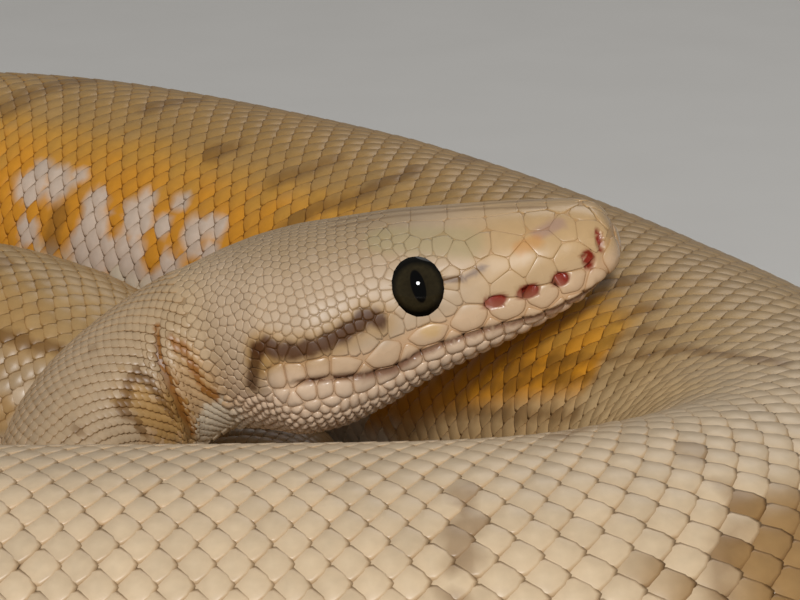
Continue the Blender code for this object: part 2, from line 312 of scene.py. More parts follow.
def coat_depth(along):
    """How far the skin lies inside the outer form, thinner on the head and where the animal is slim."""
    depth = HEAD_COAT + (BODY_COAT - HEAD_COAT) * smoothstep((along - BODY_FROM) / COAT_BLEND)
    return np.minimum(depth, THICKEST_COAT * radius_at(along))


def crease_depth(along, turn):
    """How deep the fold in the skin of the neck's right side is, below zero where the skin swells."""
    degrees = np.degrees((turn + math.pi) % (2.0 * math.pi) - math.pi)
    middle = np.interp(degrees, FOLD_TURNS, FOLD_PLACES) * MM
    reach = smoothstep((degrees - 28.0) / 25.0) * smoothstep((128.0 - degrees) / 22.0)
    away = (along - middle) / MM
    fold = sum(depth * np.exp(-((away - on) / width) ** 2) for on, depth, width in FOLD_PARTS)
    return np.maximum(fold, -0.25) * reach * MM


def surface(along, turn):
    """The animal's outer form at places along it and turns round it from the middle of the back."""
    along, turn = np.broadcast_arrays(np.asarray(along, float), np.asarray(turn, float))
    crease = crease_depth(along, turn).ravel()
    angle = math.pi / 2.0 + turn - roll_at(along)
    shape = along.shape
    along, angle = along.ravel(), angle.ravel()
    points = np.empty((len(along), 3))
    head = along < HEAD_LENGTH
    if head.any():
        points[head] = head_surface(along[head], angle[head])
    if not head.all():
        points[~head] = body_surface(along[~head], angle[~head], crease[~head])
    return points.reshape(*shape, 3)


def surface_frame(along, turn):
    """Points on the outer form, the direction out of it, and its stretch to the rear and to the side."""
    step, twist = 0.4 * MM, 0.02
    here = surface(along, turn)
    rear = (surface(along + step, turn) - surface(along - step, turn)) / (2.0 * step)
    side = (surface(along, turn + twist) - surface(along, turn - twist)) / (2.0 * twist)
    out = unit(np.cross(rear, side))
    return here, out, rear, side


def mesh_from(name, points, faces):
    mesh = bpy.data.meshes.new(name)
    mesh.from_pydata(points.tolist(), [], faces)
    mesh.update()
    return mesh


def face_outwards(mesh):
    bm = bmesh.new()
    bm.from_mesh(mesh)
    bmesh.ops.recalc_face_normals(bm, faces=bm.faces)
    bm.to_mesh(mesh)
    bm.free()


def add_object(name, mesh):
    piece = bpy.data.objects.new(name, mesh)
    bpy.context.scene.collection.objects.link(piece)
    return piece


def store_points(mesh, name, kind, values):
    attribute = mesh.attributes.new(name, kind, "POINT")
    field = {"FLOAT": "value", "FLOAT_VECTOR": "vector", "FLOAT_COLOR": "color"}[kind]
    attribute.data.foreach_set(field, np.asarray(values, dtype=np.float32).ravel())


def store_colours(mesh, colours):
    rgba = np.ones((len(colours), 4))
    rgba[:, :3] = np.clip(colours, 0.0, 1.0)
    store_points(mesh, "markings", "FLOAT_COLOR", rgba)


def store_bake_map(mesh, places):
    """The unwrap for baking: one place for every point, read at each face corner."""
    corners = np.empty(len(mesh.loops), dtype=np.int32)
    mesh.loops.foreach_get("vertex_index", corners)
    layer = mesh.uv_layers.new(name="OFBake")
    layer.data.foreach_set("uv", np.asarray(places, dtype=np.float32)[corners].ravel())


# ------------------------------------------------------------------------------------- markings

# The middle of the back: place along in millimetres, then its colour there.
BACK_COLOURS = (
    (45, 0.50, 0.37, 0.235), (60, 0.47, 0.36, 0.25), (110, 0.46, 0.34, 0.21), (150, 0.42, 0.28, 0.13),
    (200, 0.44, 0.30, 0.145), (260, 0.54, 0.41, 0.27), (320, 0.62, 0.50, 0.37), (425, 0.60, 0.48, 0.345),
    (460, 0.43, 0.30, 0.155), (500, 0.40, 0.255, 0.105), (560, 0.41, 0.25, 0.085), (640, 0.43, 0.275, 0.11),
    (760, 0.54, 0.41, 0.27), (1050, 0.52, 0.38, 0.23),
)
# Colours of the markings; the two shades tone all of them down on the body and on the head.
YELLOW = np.array([0.55, 0.295, 0.055])
ORANGE = np.array([0.62, 0.275, 0.022])
LILAC = np.array([0.62, 0.535, 0.490])
BELLY = np.array([0.72, 0.64, 0.53])
BROWN = np.array([0.165, 0.078, 0.018])
DARK_BROWN = np.array([0.092, 0.036, 0.011])
OLIVE = np.array([0.40, 0.345, 0.190])
# Reddish brown, also used as painted shade in the neck's fold.
RUST_AND_FOLD_SHADE = np.array([0.30, 0.125, 0.025])
OCHRE = np.array([0.42, 0.25, 0.085])
CROWN = np.array([0.42, 0.305, 0.185])
TEMPLE = np.array([0.55, 0.42, 0.295])
SNOUT_PEACH = np.array([0.56, 0.375, 0.185])
LIP = np.array([0.68, 0.49, 0.33])
THROAT = np.array([0.78, 0.60, 0.45])
# A dark amber: yellow-brown darkened as painted shade, for the turn to the right of the head.
AMBER_AND_SHADE = np.array([0.27, 0.145, 0.036])
SHELF_TAN = np.array([0.53, 0.385, 0.215])
INNER_TAN = np.array([0.42, 0.305, 0.185])
INNER_CREAM = np.array([0.60, 0.475, 0.35])
BODY_SHADE = np.array([0.80, 0.765, 0.69])
HEAD_SHADE = np.array([0.76, 0.73, 0.68])
PIT = np.array([0.24, 0.022, 0.010])
NOSTRIL = np.array([0.38, 0.24, 0.22])
NOSE_ORANGE = np.array([0.60, 0.28, 0.07])
LIP_GOLD = np.array([0.62, 0.40, 0.12])
# The dark line between the lips: partly their own seam, partly painted shade in the mouth's slit.
MOUTH_LINE = np.array([0.13, 0.035, 0.016])

# Dark marks: places (along in mm, turn in degrees), then half the width in mm and the depth of colour.
DARK_MARKS = (
    (((606, 46), (604, 36), (601, 26), (600, 15)), 2.4, 0.60),
    (((582, 34), (581, 28), (578, 18)), 2.0, 0.65),
    (((562, 49), (561, 46)), 1.9, 0.75),
    (((548, 54), (545, 48), (543, 38)), 1.5, 0.60),
    (((540, 70), (537, 59), (533, 53)), 1.3, 0.75),
    (((532, 49), (531, 36), (531, 30)), 1.4, 0.80),
    (((530, 14), (532, 2)), 1.5, 0.55),
    (((584, 84), (584, 95)), 1.7, 0.70),
    (((484, 44), (481, 41), (480, 36)), 1.1, 0.75),
    (((474, 50), (472, 43)), 1.1, 0.75),
    (((471, 58), (469, 52), (465, 47)), 1.1, 0.65),
    (((485, 80), (476, 70), (469, 63), (462, 55), (458, 48), (452, 43), (447, 37), (443, 28)), 0.9, 0.80),
    (((488, 88), (481, 81), (477, 76), (473, 74), (468, 69)), 0.9, 0.70),
    (((494, 100), (485, 93), (481, 91)), 1.0, 0.75),
    (((479, 90), (476, 87), (466, 80)), 1.0, 0.70),
    (((409, 40), (405, 35)), 1.2, 0.60),
    (((393, 9), (393, 5)), 1.1, 0.60),
    (((393, -1), (392, -4)), 1.2, 0.65),
    (((392, -9), (391, -13)), 1.2, 0.65),
    (((391, -18), (393, -27), (392, -40)), 1.3, 0.60),
    (((414, 16), (413, 11)), 1.0, 0.42),
    (((413, 3), (413, -4)), 1.0, 0.48),
    (((412, -9), (410, -15), (409, -20), (408, -30), (406, -44)), 1.1, 0.52),
    (((170, 49), (167, 46), (164, 44), (160, 40)), 0.9, 0.90),
    (((174, 14), (173, 9)), 1.8, 0.60),
    (((64.5, 66), (64, 54), (64, 47), (62, 46), (60, 44), (58, 48), (57.6, 58), (58, 66), (58, 84)),
     0.85, 0.97),
    (((59, 8), (59.5, 7)), 0.5, 0.35),
    (((69, 13), (69, 15)), 0.7, 0.60),
)
# Reddish-brown marks at the fold in the neck's right side. The first runs along the fold itself and is
# partly the fold's own colour, partly painted shade in the crease; the others are short dashes in front of
# it.
RUST_AND_FOLD_SHADE_MARKS = (
    (((52, 38), (54, 54), (55, 71), (56, 88), (56.5, 112)), 0.55, 0.95),
    (((51, 55), (51, 57)), 0.80, 0.90),
    (((50, 62), (50, 65)), 0.80, 0.90),
    (((50, 74), (50, 79)), 0.80, 0.95),
    (((50, 87), (50, 91)), 0.80, 0.95),
    (((49.5, 98), (48.5, 105)), 0.80, 0.95),
)
OCHRE_MARKS = (
    (((61, 54), (60, 88)), 2.8, 0.85),
    (((57, 84), (58, 112)), 2.2, 0.90),
    (((50.5, 60), (49.5, 98)), 1.3, 0.40),
    (((170, 30), (166, 42)), 4.5, 0.45),
    (((172, 65), (172, 68)), 1.5, 0.8),
    (((164, 72), (165, 75)), 1.7, 0.8),
    (((159, 66), (160, 69)), 1.3, 0.7),
)
# Amber over the outside of the turn to the right of the head: its own yellow-brown, made darker as painted
# shade where the light falls off there.
AMBER_AND_SHADE_MARKS = (
    (((416, -19), (413, -30), (410, -52)), 7.0, 0.85),
    (((414, -38), (409, -56)), 9.0, 0.60),
)
# Pale lilac patches on the flank: along in mm, turn in degrees, radius in mm.
LILAC_PATCHES = (
    (592, 75, 3.6), (587, 74, 2.6), (583, 69, 1.4), (577, 78, 2.6), (576, 85, 3.4), (575, 94, 4.6),
    (569, 74, 2.4), (568, 81, 3.0), (567, 92, 3.8), (563, 79, 1.8), (561.5, 71, 1.5), (556.5, 80, 2.4),
    (553, 75, 2.2), (560, 94, 3.2), (552, 84, 1.7), (590, 92, 2.2), (548, 90, 2.4),
)
ORANGE_SPOTS = ((572.5, 83, 1.6), (571, 71, 1.2), (563, 90, 2.0), (582, 84, 2.4))

# Marks on each side of the head: places back, out to the side and up in mm.
EYE_STRIPE = ((27.1, 11.3, 2.2), (28.2, 11.5, 3.1), (29.6, 12.1, 2.6), (31.4, 12.7, 2.2), (33.7, 13.4, 2.0),
              (35.9, 13.6, 2.1), (37.8, 13.5, 2.5), (39.3, 13.2, 3.6), (40.3, 13.0, 3.3))
STRIPE_END = ((40.3, 13.0, 3.3), (41.5, 12.8, 1.3), (42.4, 12.3, -0.6))
STRIPE_FILL = ((39.6, 13.4, 2.2), (40.8, 13.2, 1.6))
FRONT_STRIPE = ((19.4, 9.4, 4.0), (17.1, 9.0, 3.4), (14.8, 8.4, 3.8))
NOSTRIL_TINT = ((8.1, 5.6, 5.0), (5.8, 4.4, 5.1))
ORANGE_TINT = ((10.5, 6.9, 4.3), (8.6, 6.3, 4.4))
LIP_SPOT = ((21.8, 10.8, -0.7), (22.4, 10.9, -0.6))
BROW_TINT = ((24.5, 5.6, 9.4), (20.0, 6.2, 8.2), (16.0, 6.6, 6.6))
CROWN_LINE = ((30.0, 1.2, 10.9), (22.5, 1.0, 10.0), (14.9, 0.8, 8.4), (6.7, 1.6, 6.5))
# Heat pits in the lip scales, then two at the snout: back, out, up, half the length, half the height in mm.
LIP_PITS = ((7.2, 7.7, -0.15, 0.90, 0.68), (10.9, 8.7, -0.2, 1.15, 0.66), (14.6, 9.5, 0.0, 1.20, 0.60))
PITS = ((2.0, 5.2, 2.1, 0.38, 1.15), (3.7, 6.4, 0.7, 0.62, 1.0)) + LIP_PITS
PIT_INWARD = 2.5


# Where the scattered rings, streaks and patches start and end, in mm.
MORE_MARKS_SPAN = (84.0, 1030.0)
MORE_PATCHES_SPAN = (120.0, 950.0)
# How much lighter or darker single scales are.
BODY_TONE = 0.028
HEAD_TONE = 0.015


def mix(first, second, share):
    """Colours moved by the given share from the first to the second."""
    share = np.asarray(share)[..., None]
    return first * (1.0 - share) + second * share


def wave(values, seed, octaves=4):
    """A smooth random line between -1 and 1 through the values, the same on every run."""
    total = np.zeros_like(values)
    source = np.random.default_rng(seed)
    for octave in range(octaves):
        phase, size = source.uniform(0.0, 6.283), 0.5**octave
        total += size * np.sin(values * (2.0**octave) * source.uniform(0.8, 1.2) + phase)
    return total / 1.6


def mark_size(along):
    """How large marks are at a place along in mm, next to those on the thickest turns."""
    return float(np.interp(along, (60.0, 200.0, 640.0, 1040.0), (0.5, 0.95, 1.0, 0.35)))


def scattered_rings(source, sign):
    """Broken rings and streaks on one side of the body."""
    marks = []
    along, end = MORE_MARKS_SPAN
    while along < end:
        described = 335.0 < along < 425.0
        if sign > 0.0:
            described = 135.0 < along < 185.0 or 335.0 < along < 615.0
        size = mark_size(along)
        if not described and source.uniform() < 0.8:
            first, last = source.uniform(4.0, 40.0), source.uniform(46.0, 88.0)
            lean = source.uniform(-5.0, 5.0) * size
            places = [(along + lean * k / 5.0 + source.normal(0.0, 1.3) * size, sign * turn)
                      for k, turn in enumerate(np.linspace(first, last, 6))]
            keep = places[:3] if source.uniform() < 0.5 else places
            marks.append((tuple(keep), 1.5 * size, source.uniform(0.55, 0.85)))
        along += source.uniform(17.0, 38.0) * size
    return marks


def scattered_patches(source, sign):
    """Groups of lilac patches on one side of the body."""
    patches = []
    along, end = MORE_PATCHES_SPAN
    while along < end:
        described = sign > 0.0 and (130.0 < along < 195.0 or 420.0 < along < 615.0)
        size = mark_size(along)
        if not described:
            for _ in range(int(source.integers(3, 8))):
                patches.append((along + source.normal(0.0, 7.0) * size, sign * source.uniform(72.0, 98.0),
                                source.uniform(1.8, 4.2) * size))
        along += source.uniform(28.0, 52.0) * size
    return patches


def scattered_marks():
    """Marks and patches on both sides of the turns that the lists above leave plain."""
    source = np.random.default_rng(41)
    marks, patches = [], []
    for sign in (1.0, -1.0):
        marks += scattered_rings(source, sign)
        patches += scattered_patches(source, sign)
    return tuple(marks), tuple(patches)


MORE_MARKS, MORE_PATCHES = scattered_marks()


def run_distance(points, places):
    """The distance from every point to a run of straight pieces through the places."""
    nearest = np.full(len(points), 1e9)
    for start, end in zip(places[:-1], places[1:]):
        reach = np.subtract(end, start)
        share = np.clip((points - start) @ reach / max(reach @ reach, 1e-12), 0.0, 1.0)
        nearest = np.minimum(nearest, np.linalg.norm(points - (start + share[:, None] * reach), axis=1))
    return nearest


def on_body(along, turn, marks, shake):
    """How strongly the given body marks cover each place."""
    cover = np.zeros(len(along))
    size = radius_at(along) / MM
    mm = along / MM
    for places, width, depth in marks:
        first = min(p[0] for p in places) - 3.0 * width - 2.0
        last = max(p[0] for p in places) + 3.0 * width + 2.0
        near = (mm > first) & (mm < last)
        if not near.any():
            continue
        flat = np.stack([mm[near], turn[near] * size[near]], axis=1)
        run = [np.array([p[0], math.radians(p[1]) * float(radius_at(p[0] * MM)) / MM]) for p in places]
        away = run_distance(flat, run) / width + shake[near] * 0.22
        cover[near] = np.maximum(cover[near], depth * (1.0 - smoothstep((away - 0.55) / 0.75)))
    return cover


def in_patches(along, turn, patches, shake):
    """How strongly the given round patches cover each place."""
    cover = np.zeros(len(along))
    size = radius_at(along) / MM
    mm = along / MM
    for place, angle, radius in patches:
        near = np.abs(mm - place) < 2.0 * radius + 2.0
        if near.any():
            away = np.hypot(mm[near] - place, (turn[near] - math.radians(angle)) * size[near]) / radius
            here = 1.0 - smoothstep((away - 0.75 + 0.18 * shake[near]) / 0.5)
            cover[near] = np.maximum(cover[near], here)
    return cover


def flank_edges(mm, turn, tone):
    """The turns in degrees where the flank's colour begins and where the belly's does."""
    right = turn > 0.0
    neck = smoothstep((125.0 - mm) / 60.0)
    front = smoothstep((mm - 330.0) / 40.0) * smoothstep((450.0 - mm) / 30.0)
    flank = 44.0 + 5.0 * wave(mm / 19.0, 3) + 14.0 * neck + 2.0 * tone + 6.0 * front
    flank = flank + 38.0 * right * smoothstep((473.0 - mm) / 9.0) * smoothstep((mm - 340.0) / 40.0)
    belly = 99.0 + 4.0 * wave(mm / 15.0, 5) + 3.0 * tone
    belly = belly + 15.0 * right * smoothstep((mm - 440.0) / 20.0) * smoothstep((540.0 - mm) / 20.0)
    return flank, belly


def paint_inner_turns(colour, mm, turn, low, tone):
    """The paler insides of the small turn behind the neck and of the turn under the head."""
    inner = smoothstep((mm - 140.0) / 10.0) * smoothstep((196.0 - mm) / 10.0) * (turn > 0.0)
    colour = mix(colour, INNER_TAN, inner * smoothstep((low - 45.0) / 5.0))
    colour = mix(colour, INNER_CREAM, inner * smoothstep((low - 61.0 + 3.0 * tone) / 5.0))
    shelf = smoothstep((low - 58.0 - (mm - 457.0)) / 9.0) * (turn > 0.0)
    shelf = shelf * smoothstep((mm - 430.0) / 12.0) * smoothstep((520.0 - mm) / 15.0)
    return mix(colour, SHELF_TAN, 0.9 * shelf)


def body_colour(along, turn, tone):
    """Cream or tan back, yellow to orange flank, lilac patches, cream belly and thin broken brown marks."""
    low = np.degrees(np.abs(turn))
    mm = along / MM
    rows = np.array(BACK_COLOURS)
    back = np.stack([np.interp(mm, rows[:, 0], rows[:, k]) for k in (1, 2, 3)], axis=1)
    flank_edge, belly_edge = flank_edges(mm, turn, tone)
    flank = mix(YELLOW, ORANGE, smoothstep((low - 52.0 + 4.0 * tone) / 26.0))
    neck = smoothstep((125.0 - mm) / 60.0)
    colour = mix(back, flank, smoothstep((low - flank_edge) / 13.0) * (1.0 - 0.8 * neck))
    colour = paint_inner_turns(colour, mm, turn, low, tone)
    white = in_patches(along, turn, LILAC_PATCHES + MORE_PATCHES, tone)
    white = white * (1.0 - in_patches(along, turn, ORANGE_SPOTS, tone))
    colour = mix(colour, LILAC, 0.92 * white)
    colour = mix(colour, BELLY, smoothstep((low - belly_edge) / 7.0))
    # Ochre is the scales' own colour; the amber and the rust also carry painted shade: light falling off on
    # the turn by the head, and the shade in the neck's fold.
    for tint, marks in ((OCHRE, OCHRE_MARKS), (AMBER_AND_SHADE, AMBER_AND_SHADE_MARKS), (RUST_AND_FOLD_SHADE, RUST_AND_FOLD_SHADE_MARKS)):
        colour = mix(colour, tint, on_body(along, turn, marks, tone))
    colour = mix(colour, BROWN, 0.8 * on_body(along, turn, DARK_MARKS + MORE_MARKS, tone))
    return colour * BODY_SHADE * (1.0 + BODY_TONE * tone)[:, None]


def on_head(points, places, width):
    """How strongly a mark of the given width through the places covers each point of the head."""
    return 1.0 - smoothstep((run_distance(points, [np.array(p) for p in places]) / width - 0.5) / 0.8)


def pit_reach(back, side, up, pit):
    """How far a place is from a heat pit's middle, as a share of the way to its rim."""
    across = np.hypot((back - pit[0]) / pit[3], (up - pit[2]) / pit[4])
    return np.hypot(across, (side - pit[1]) / PIT_INWARD)


def mouth_line(back, side, above):
    """How dark the line between the lips is, fading out at the corner of the mouth and at the snout: partly
    the lips' own seam, partly painted shade in the mouth's slit, wider towards the back.
    """
    width = 0.34 + 0.30 * np.exp(-((back - 28.0) / 4.0) ** 2)
    line = np.exp(-(above / width) ** 2) * smoothstep((38.5 - back) / 3.0) * smoothstep((back - 1.0) / 2.0)
    return 0.80 * line * smoothstep((side - 1.0) / 2.0)


def head_colour(back, left, up, tone):
    """Tan crown, pale temple and lips, peach snout, a dark stripe behind the eye and red heat pits."""
    places = np.stack([back, np.abs(left), up], axis=1) / MM
    b, side, u = places.T
    above = mouth_height(back) / MM - u
    crown = smoothstep((u - 0.16 * b - 2.6 + 0.4 * tone) / 3.5) * smoothstep((b - 10.0) / 16.0)
    colour = mix(TEMPLE, CROWN, crown)
    snout = smoothstep((21.0 - b) / 10.0) * (0.85 - 0.25 * smoothstep((2.5 - u) / 2.0))
    colour = mix(colour, SNOUT_PEACH, snout)
    colour = mix(colour, LIP, 0.8 * smoothstep((above + 3.6) / 1.2) * smoothstep((41.0 - b) / 3.0))
    colour = mix(colour, THROAT, smoothstep((above - 0.1) / 0.5))
    colour = mix(colour, THROAT, 0.5 * smoothstep((b - 33.0) / 6.0) * smoothstep((3.0 - u) / 3.0))
    stripe_width = 1.10 + 0.14 * np.sin(b * 3.1)
    for tint, depth, mark, width in (
        (OLIVE, 0.55, BROW_TINT, 2.2), (OCHRE, 0.60, EYE_STRIPE, 2.1), (OCHRE, 0.75, STRIPE_FILL, 1.7),
        (OCHRE, 0.40, STRIPE_END, 1.6), (DARK_BROWN, 0.97, EYE_STRIPE, stripe_width),
        (DARK_BROWN, 0.85, STRIPE_END, 0.85), (OCHRE, 0.45, FRONT_STRIPE, 1.1),
        (DARK_BROWN, 0.75, FRONT_STRIPE, 0.42), (NOSTRIL, 0.60, NOSTRIL_TINT, 0.9),
        (NOSE_ORANGE, 0.55, ORANGE_TINT, 0.9), (LIP_GOLD, 0.45, LIP_SPOT, 0.9),
        (BROWN, 0.45, CROWN_LINE, 0.40),
    ):
        colour = mix(colour, tint, depth * on_head(places, mark, width))
    colour = mix(colour, MOUTH_LINE, mouth_line(b, side, above))
    for pit in PITS:
        colour = mix(colour, PIT, 1.0 - smoothstep((pit_reach(b, side, u, pit) - 0.9) / 0.45))
    return colour * HEAD_SHADE * (1.0 + HEAD_TONE * tone)[:, None]


def colour_at(points, along, turn, tone):
    """The markings at places on the skin or on a scale, with a tone of its own for each scale."""
    back, left, up = head_places(points)
    into_body = smoothstep((along - BODY_FROM) / COLOUR_BLEND)
    return mix(head_colour(back, left, up, tone), body_colour(along, turn, tone), into_body)


def mouth_height(back):
    """How high the mouth line lies on the head."""
    return np.interp(back / MM, [m[0] for m in MOUTH], [m[1] for m in MOUTH]) * MM


# ------------------------------------------------------------------------------------- skin

def skin_rings():
    """Places of the rings along the head, then along the body, closer together where it is slim."""
    head = list(np.arange(*HEAD_RINGS) * MM)
    body = [BODY_RINGS_FROM]
    while body[-1] < WHOLE - 1.0 * MM:
        body.append(body[-1] + np.clip(0.09 * radius_at(body[-1]), 0.7 * MM, 2.1 * MM))
    return head, body[:-1] + [WHOLE - 0.3 * MM]


def ring_turns(count):
    return np.arange(count) * 2.0 * math.pi / count


def ring_points(along, count):
    return surface(np.full(count, along), ring_turns(count))


def skin_faces(starts, counts):
    """Faces from ring to ring, with a fan of triangles at the snout and at the tip of the tail."""
    faces = [(0, starts[0] + i, starts[0] + (i + 1) % HEAD_SIDES) for i in range(HEAD_SIDES)]
    for a, b, count, following in zip(starts, starts[1:], counts, counts[1:]):
        ratio = count // following
        for i in range(following):
            j = (i + 1) % following
            near = [a + (i * ratio + m) % count for m in range(ratio + 1)]
            faces.append((a + i, b + i, b + j, a + j) if ratio == 1 else (b + i, b + j, *reversed(near)))
    tip = starts[-1] + BODY_SIDES
    faces += [(tip, starts[-1] + (i + 1) % BODY_SIDES, starts[-1] + i) for i in range(BODY_SIDES)]
    return faces


def make_skin_mesh():
    """One closed skin, from the snout to the tip of the tail, with a finer head."""
    head, body = skin_rings()
    tip = ring_points(head[0], HEAD_SIDES)
    middle = tip.mean(axis=0)
    rows = [middle + (tip - middle) * share - BACK * head[0] * (1.0 - share**2) for share in SNOUT_DOME]
    rows += [ring_points(place, HEAD_SIDES) for place in head]
    rows += [ring_points(place, BODY_SIDES) for place in body]
    counts = [len(row) for row in rows]
    starts = (1 + np.cumsum([0] + counts[:-1])).tolist()
    snout = middle - BACK * head[0]
    tail = rows[-1].mean(axis=0) + (rows[-1] - rows[-2]).mean(axis=0) * 0.2
    mesh = mesh_from("skin", np.vstack([snout, *rows, tail]), skin_faces(starts, counts))
    face_outwards(mesh)
    places = [head[0] * share for share in SNOUT_DOME] + head + body
    along = np.concatenate([[0.0], np.repeat(places, counts), [WHOLE]])
    turn = np.concatenate([[0.0], *(ring_turns(count) for count in counts), [0.0]])
    return mesh, along, (turn + math.pi) % (2.0 * math.pi) - math.pi


def mesh_vectors(mesh, name):
    """The place ("co") or the direction outwards ("normal") of every point."""
    vectors = np.empty(len(mesh.vertices) * 3)
    mesh.vertices.foreach_get(name, vectors)
    return vectors.reshape(-1, 3)


def eye_seat(tree, sign):
    """Where an eye's middle lies on the smooth head, and the direction out of it."""
    seat, out, _, _ = tree.find_nearest(Vector(head_point(EYE_SEAT_BACK, sign * EYE_SEAT_OUT, EYE_SEAT_UP)))
    return np.array(seat), np.array(out)


def eye_reach(away, out):
    """How far places lie from an eye's middle, in an opening that is a little lower than it is wide."""
    above = unit(UP - out * (UP @ out))
    return np.linalg.norm(away + (away @ above)[:, None] * above * (1.0 / EYE_LOWER - 1.0), axis=1)


def sunk_features(points, tree):
    """How deep the eye sockets, the mouth and the heat pits lie below the smooth head, at every point."""
    back, left, up = head_places(points)
    depth = np.zeros(len(points))
    for sign in (1.0, -1.0):
        seat, out = eye_seat(tree, sign)
        reach = eye_reach(points - seat, out)
        in_socket = 1.0 - smoothstep((reach - EYE_OPENING + 0.5 * MM) / (0.5 * MM))
        depth = np.maximum(depth, SOCKET_DEPTH * in_socket)
    below = mouth_height(back) - up
    slit = MOUTH_DEPTH * np.exp(-(below / (0.32 * MM)) ** 2)
    lip = UNDERLIP_DEPTH * np.exp(-np.maximum(below, 0.0) / (1.6 * MM)) * (below > 0.0)
    fade = 1.0 - smoothstep((back - 36.5 * MM) / (2.5 * MM))
    depth = np.maximum(depth, np.where(back < 39.5 * MM, np.maximum(slit, lip) * fade, 0.0))
    for pit in PITS:
        reach = pit_reach(back / MM, np.abs(left) / MM, up / MM, pit)
        depth = np.maximum(depth, PIT_DEPTH * (1.0 - smoothstep((reach - 0.7) / 0.5)))
    return depth


def make_skin(material):
    """The skin, sunk below the outer form by the coat's depth; gives the smooth head, to seat plates on."""
    mesh, along, turn = make_skin_mesh()
    smooth_points = mesh_vectors(mesh, "co")
    normals = mesh_vectors(mesh, "normal")
    near_head = [tuple(p.vertices) for p in mesh.polygons if along[p.vertices[0]] < HEAD_REGION]
    tree = BVHTree.FromPolygons(smooth_points.tolist(), near_head)
    points = smooth_points - normals * (coat_depth(along) + sunk_features(smooth_points, tree))[:, None]
    mesh.vertices.foreach_set("co", points.ravel())
    mesh.update()
    mesh.shade_smooth()
    # Past the neck the skin's markings are darkened, as painted shade in the gaps between the body scales.
    between = 1.0 - 0.22 * smoothstep((along - 44.0 * MM) / (4.0 * MM))
    store_colours(mesh, colour_at(smooth_points, along, turn, np.zeros(len(along))) * between[:, None])
    store_points(mesh, "edge", "FLOAT", np.full(len(along), 0.5))
    unwrap = np.stack([along / WHOLE, turn / (2.0 * math.pi) + 0.5], axis=1)
    store_bake_map(mesh, unwrap)
    skin = add_object("skin", mesh)
    mesh.materials.append(material)
    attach(skin, "root")
    flesh = [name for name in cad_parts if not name.startswith("eye_")]
    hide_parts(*flesh)
    return tree


# ------------------------------------------------------------------------------------- body scales

SCALE_SIDES = 10
# The rings of one scale from its underside up: their size, their height and how far they count as rim, which
# the finish darkens and warms as painted shade.
SCALE_RINGS = ((0.90, -0.10, 1.0), (1.0, 0.045, 1.0), (0.78, 0.115, 0.2))
SCALE_SQUARENESS = 1.5
SCALE_TIP = 0.62
SCALE_ROOT = 0.54
SCALE_SIDE = 0.95
SCALE_LEAN = 0.10
SCALE_TOP = 0.150


def scale_shape():
    """One scale, one unit long and wide: a rounded rhomb with a low dome and a flat underside.

    Its root points to -X and lies low; its free end points to +X and stands a little proud.
    """
    angles = np.arange(SCALE_SIDES) * 2.0 * math.pi / SCALE_SIDES
    c, s = np.cos(angles), np.sin(angles)
    power = 2.0 / SCALE_SQUARENESS
    outline = np.stack([np.sign(c) * np.abs(c) ** power * np.where(c > 0.0, SCALE_TIP, SCALE_ROOT),
                        np.sign(s) * np.abs(s) ** power * SCALE_SIDE], axis=1)
    points, edge = [], []
    for size, height, rim in SCALE_RINGS:
        ring = outline * size
        points.append(np.column_stack([ring, height + SCALE_LEAN * ring[:, 0]]))
        edge.append(np.full(SCALE_SIDES, rim))
    points.append(np.array([[0.0, 0.0, SCALE_TOP]]))
    edge.append(np.zeros(1))
    faces = [tuple(reversed(range(SCALE_SIDES)))]
    last = (len(SCALE_RINGS) - 1) * SCALE_SIDES
    for a in range(0, last, SCALE_SIDES):
        for i in range(SCALE_SIDES):
            j = (i + 1) % SCALE_SIDES
            faces.append((a + i, a + j, a + SCALE_SIDES + j, a + SCALE_SIDES + i))
    for i in range(SCALE_SIDES):
        faces.append((last + i, last + (i + 1) % SCALE_SIDES, last + SCALE_SIDES))
    return np.vstack(points), np.concatenate(edge), faces


def add_sockets(tree, taken, given):
    """Names the values that a tree takes and gives, each with its kind."""
    for in_out, sockets in (("INPUT", taken), ("OUTPUT", given)):
        for name, kind in sockets:
            tree.interface.new_socket(name=name, in_out=in_out, socket_type="NodeSocket" + kind)


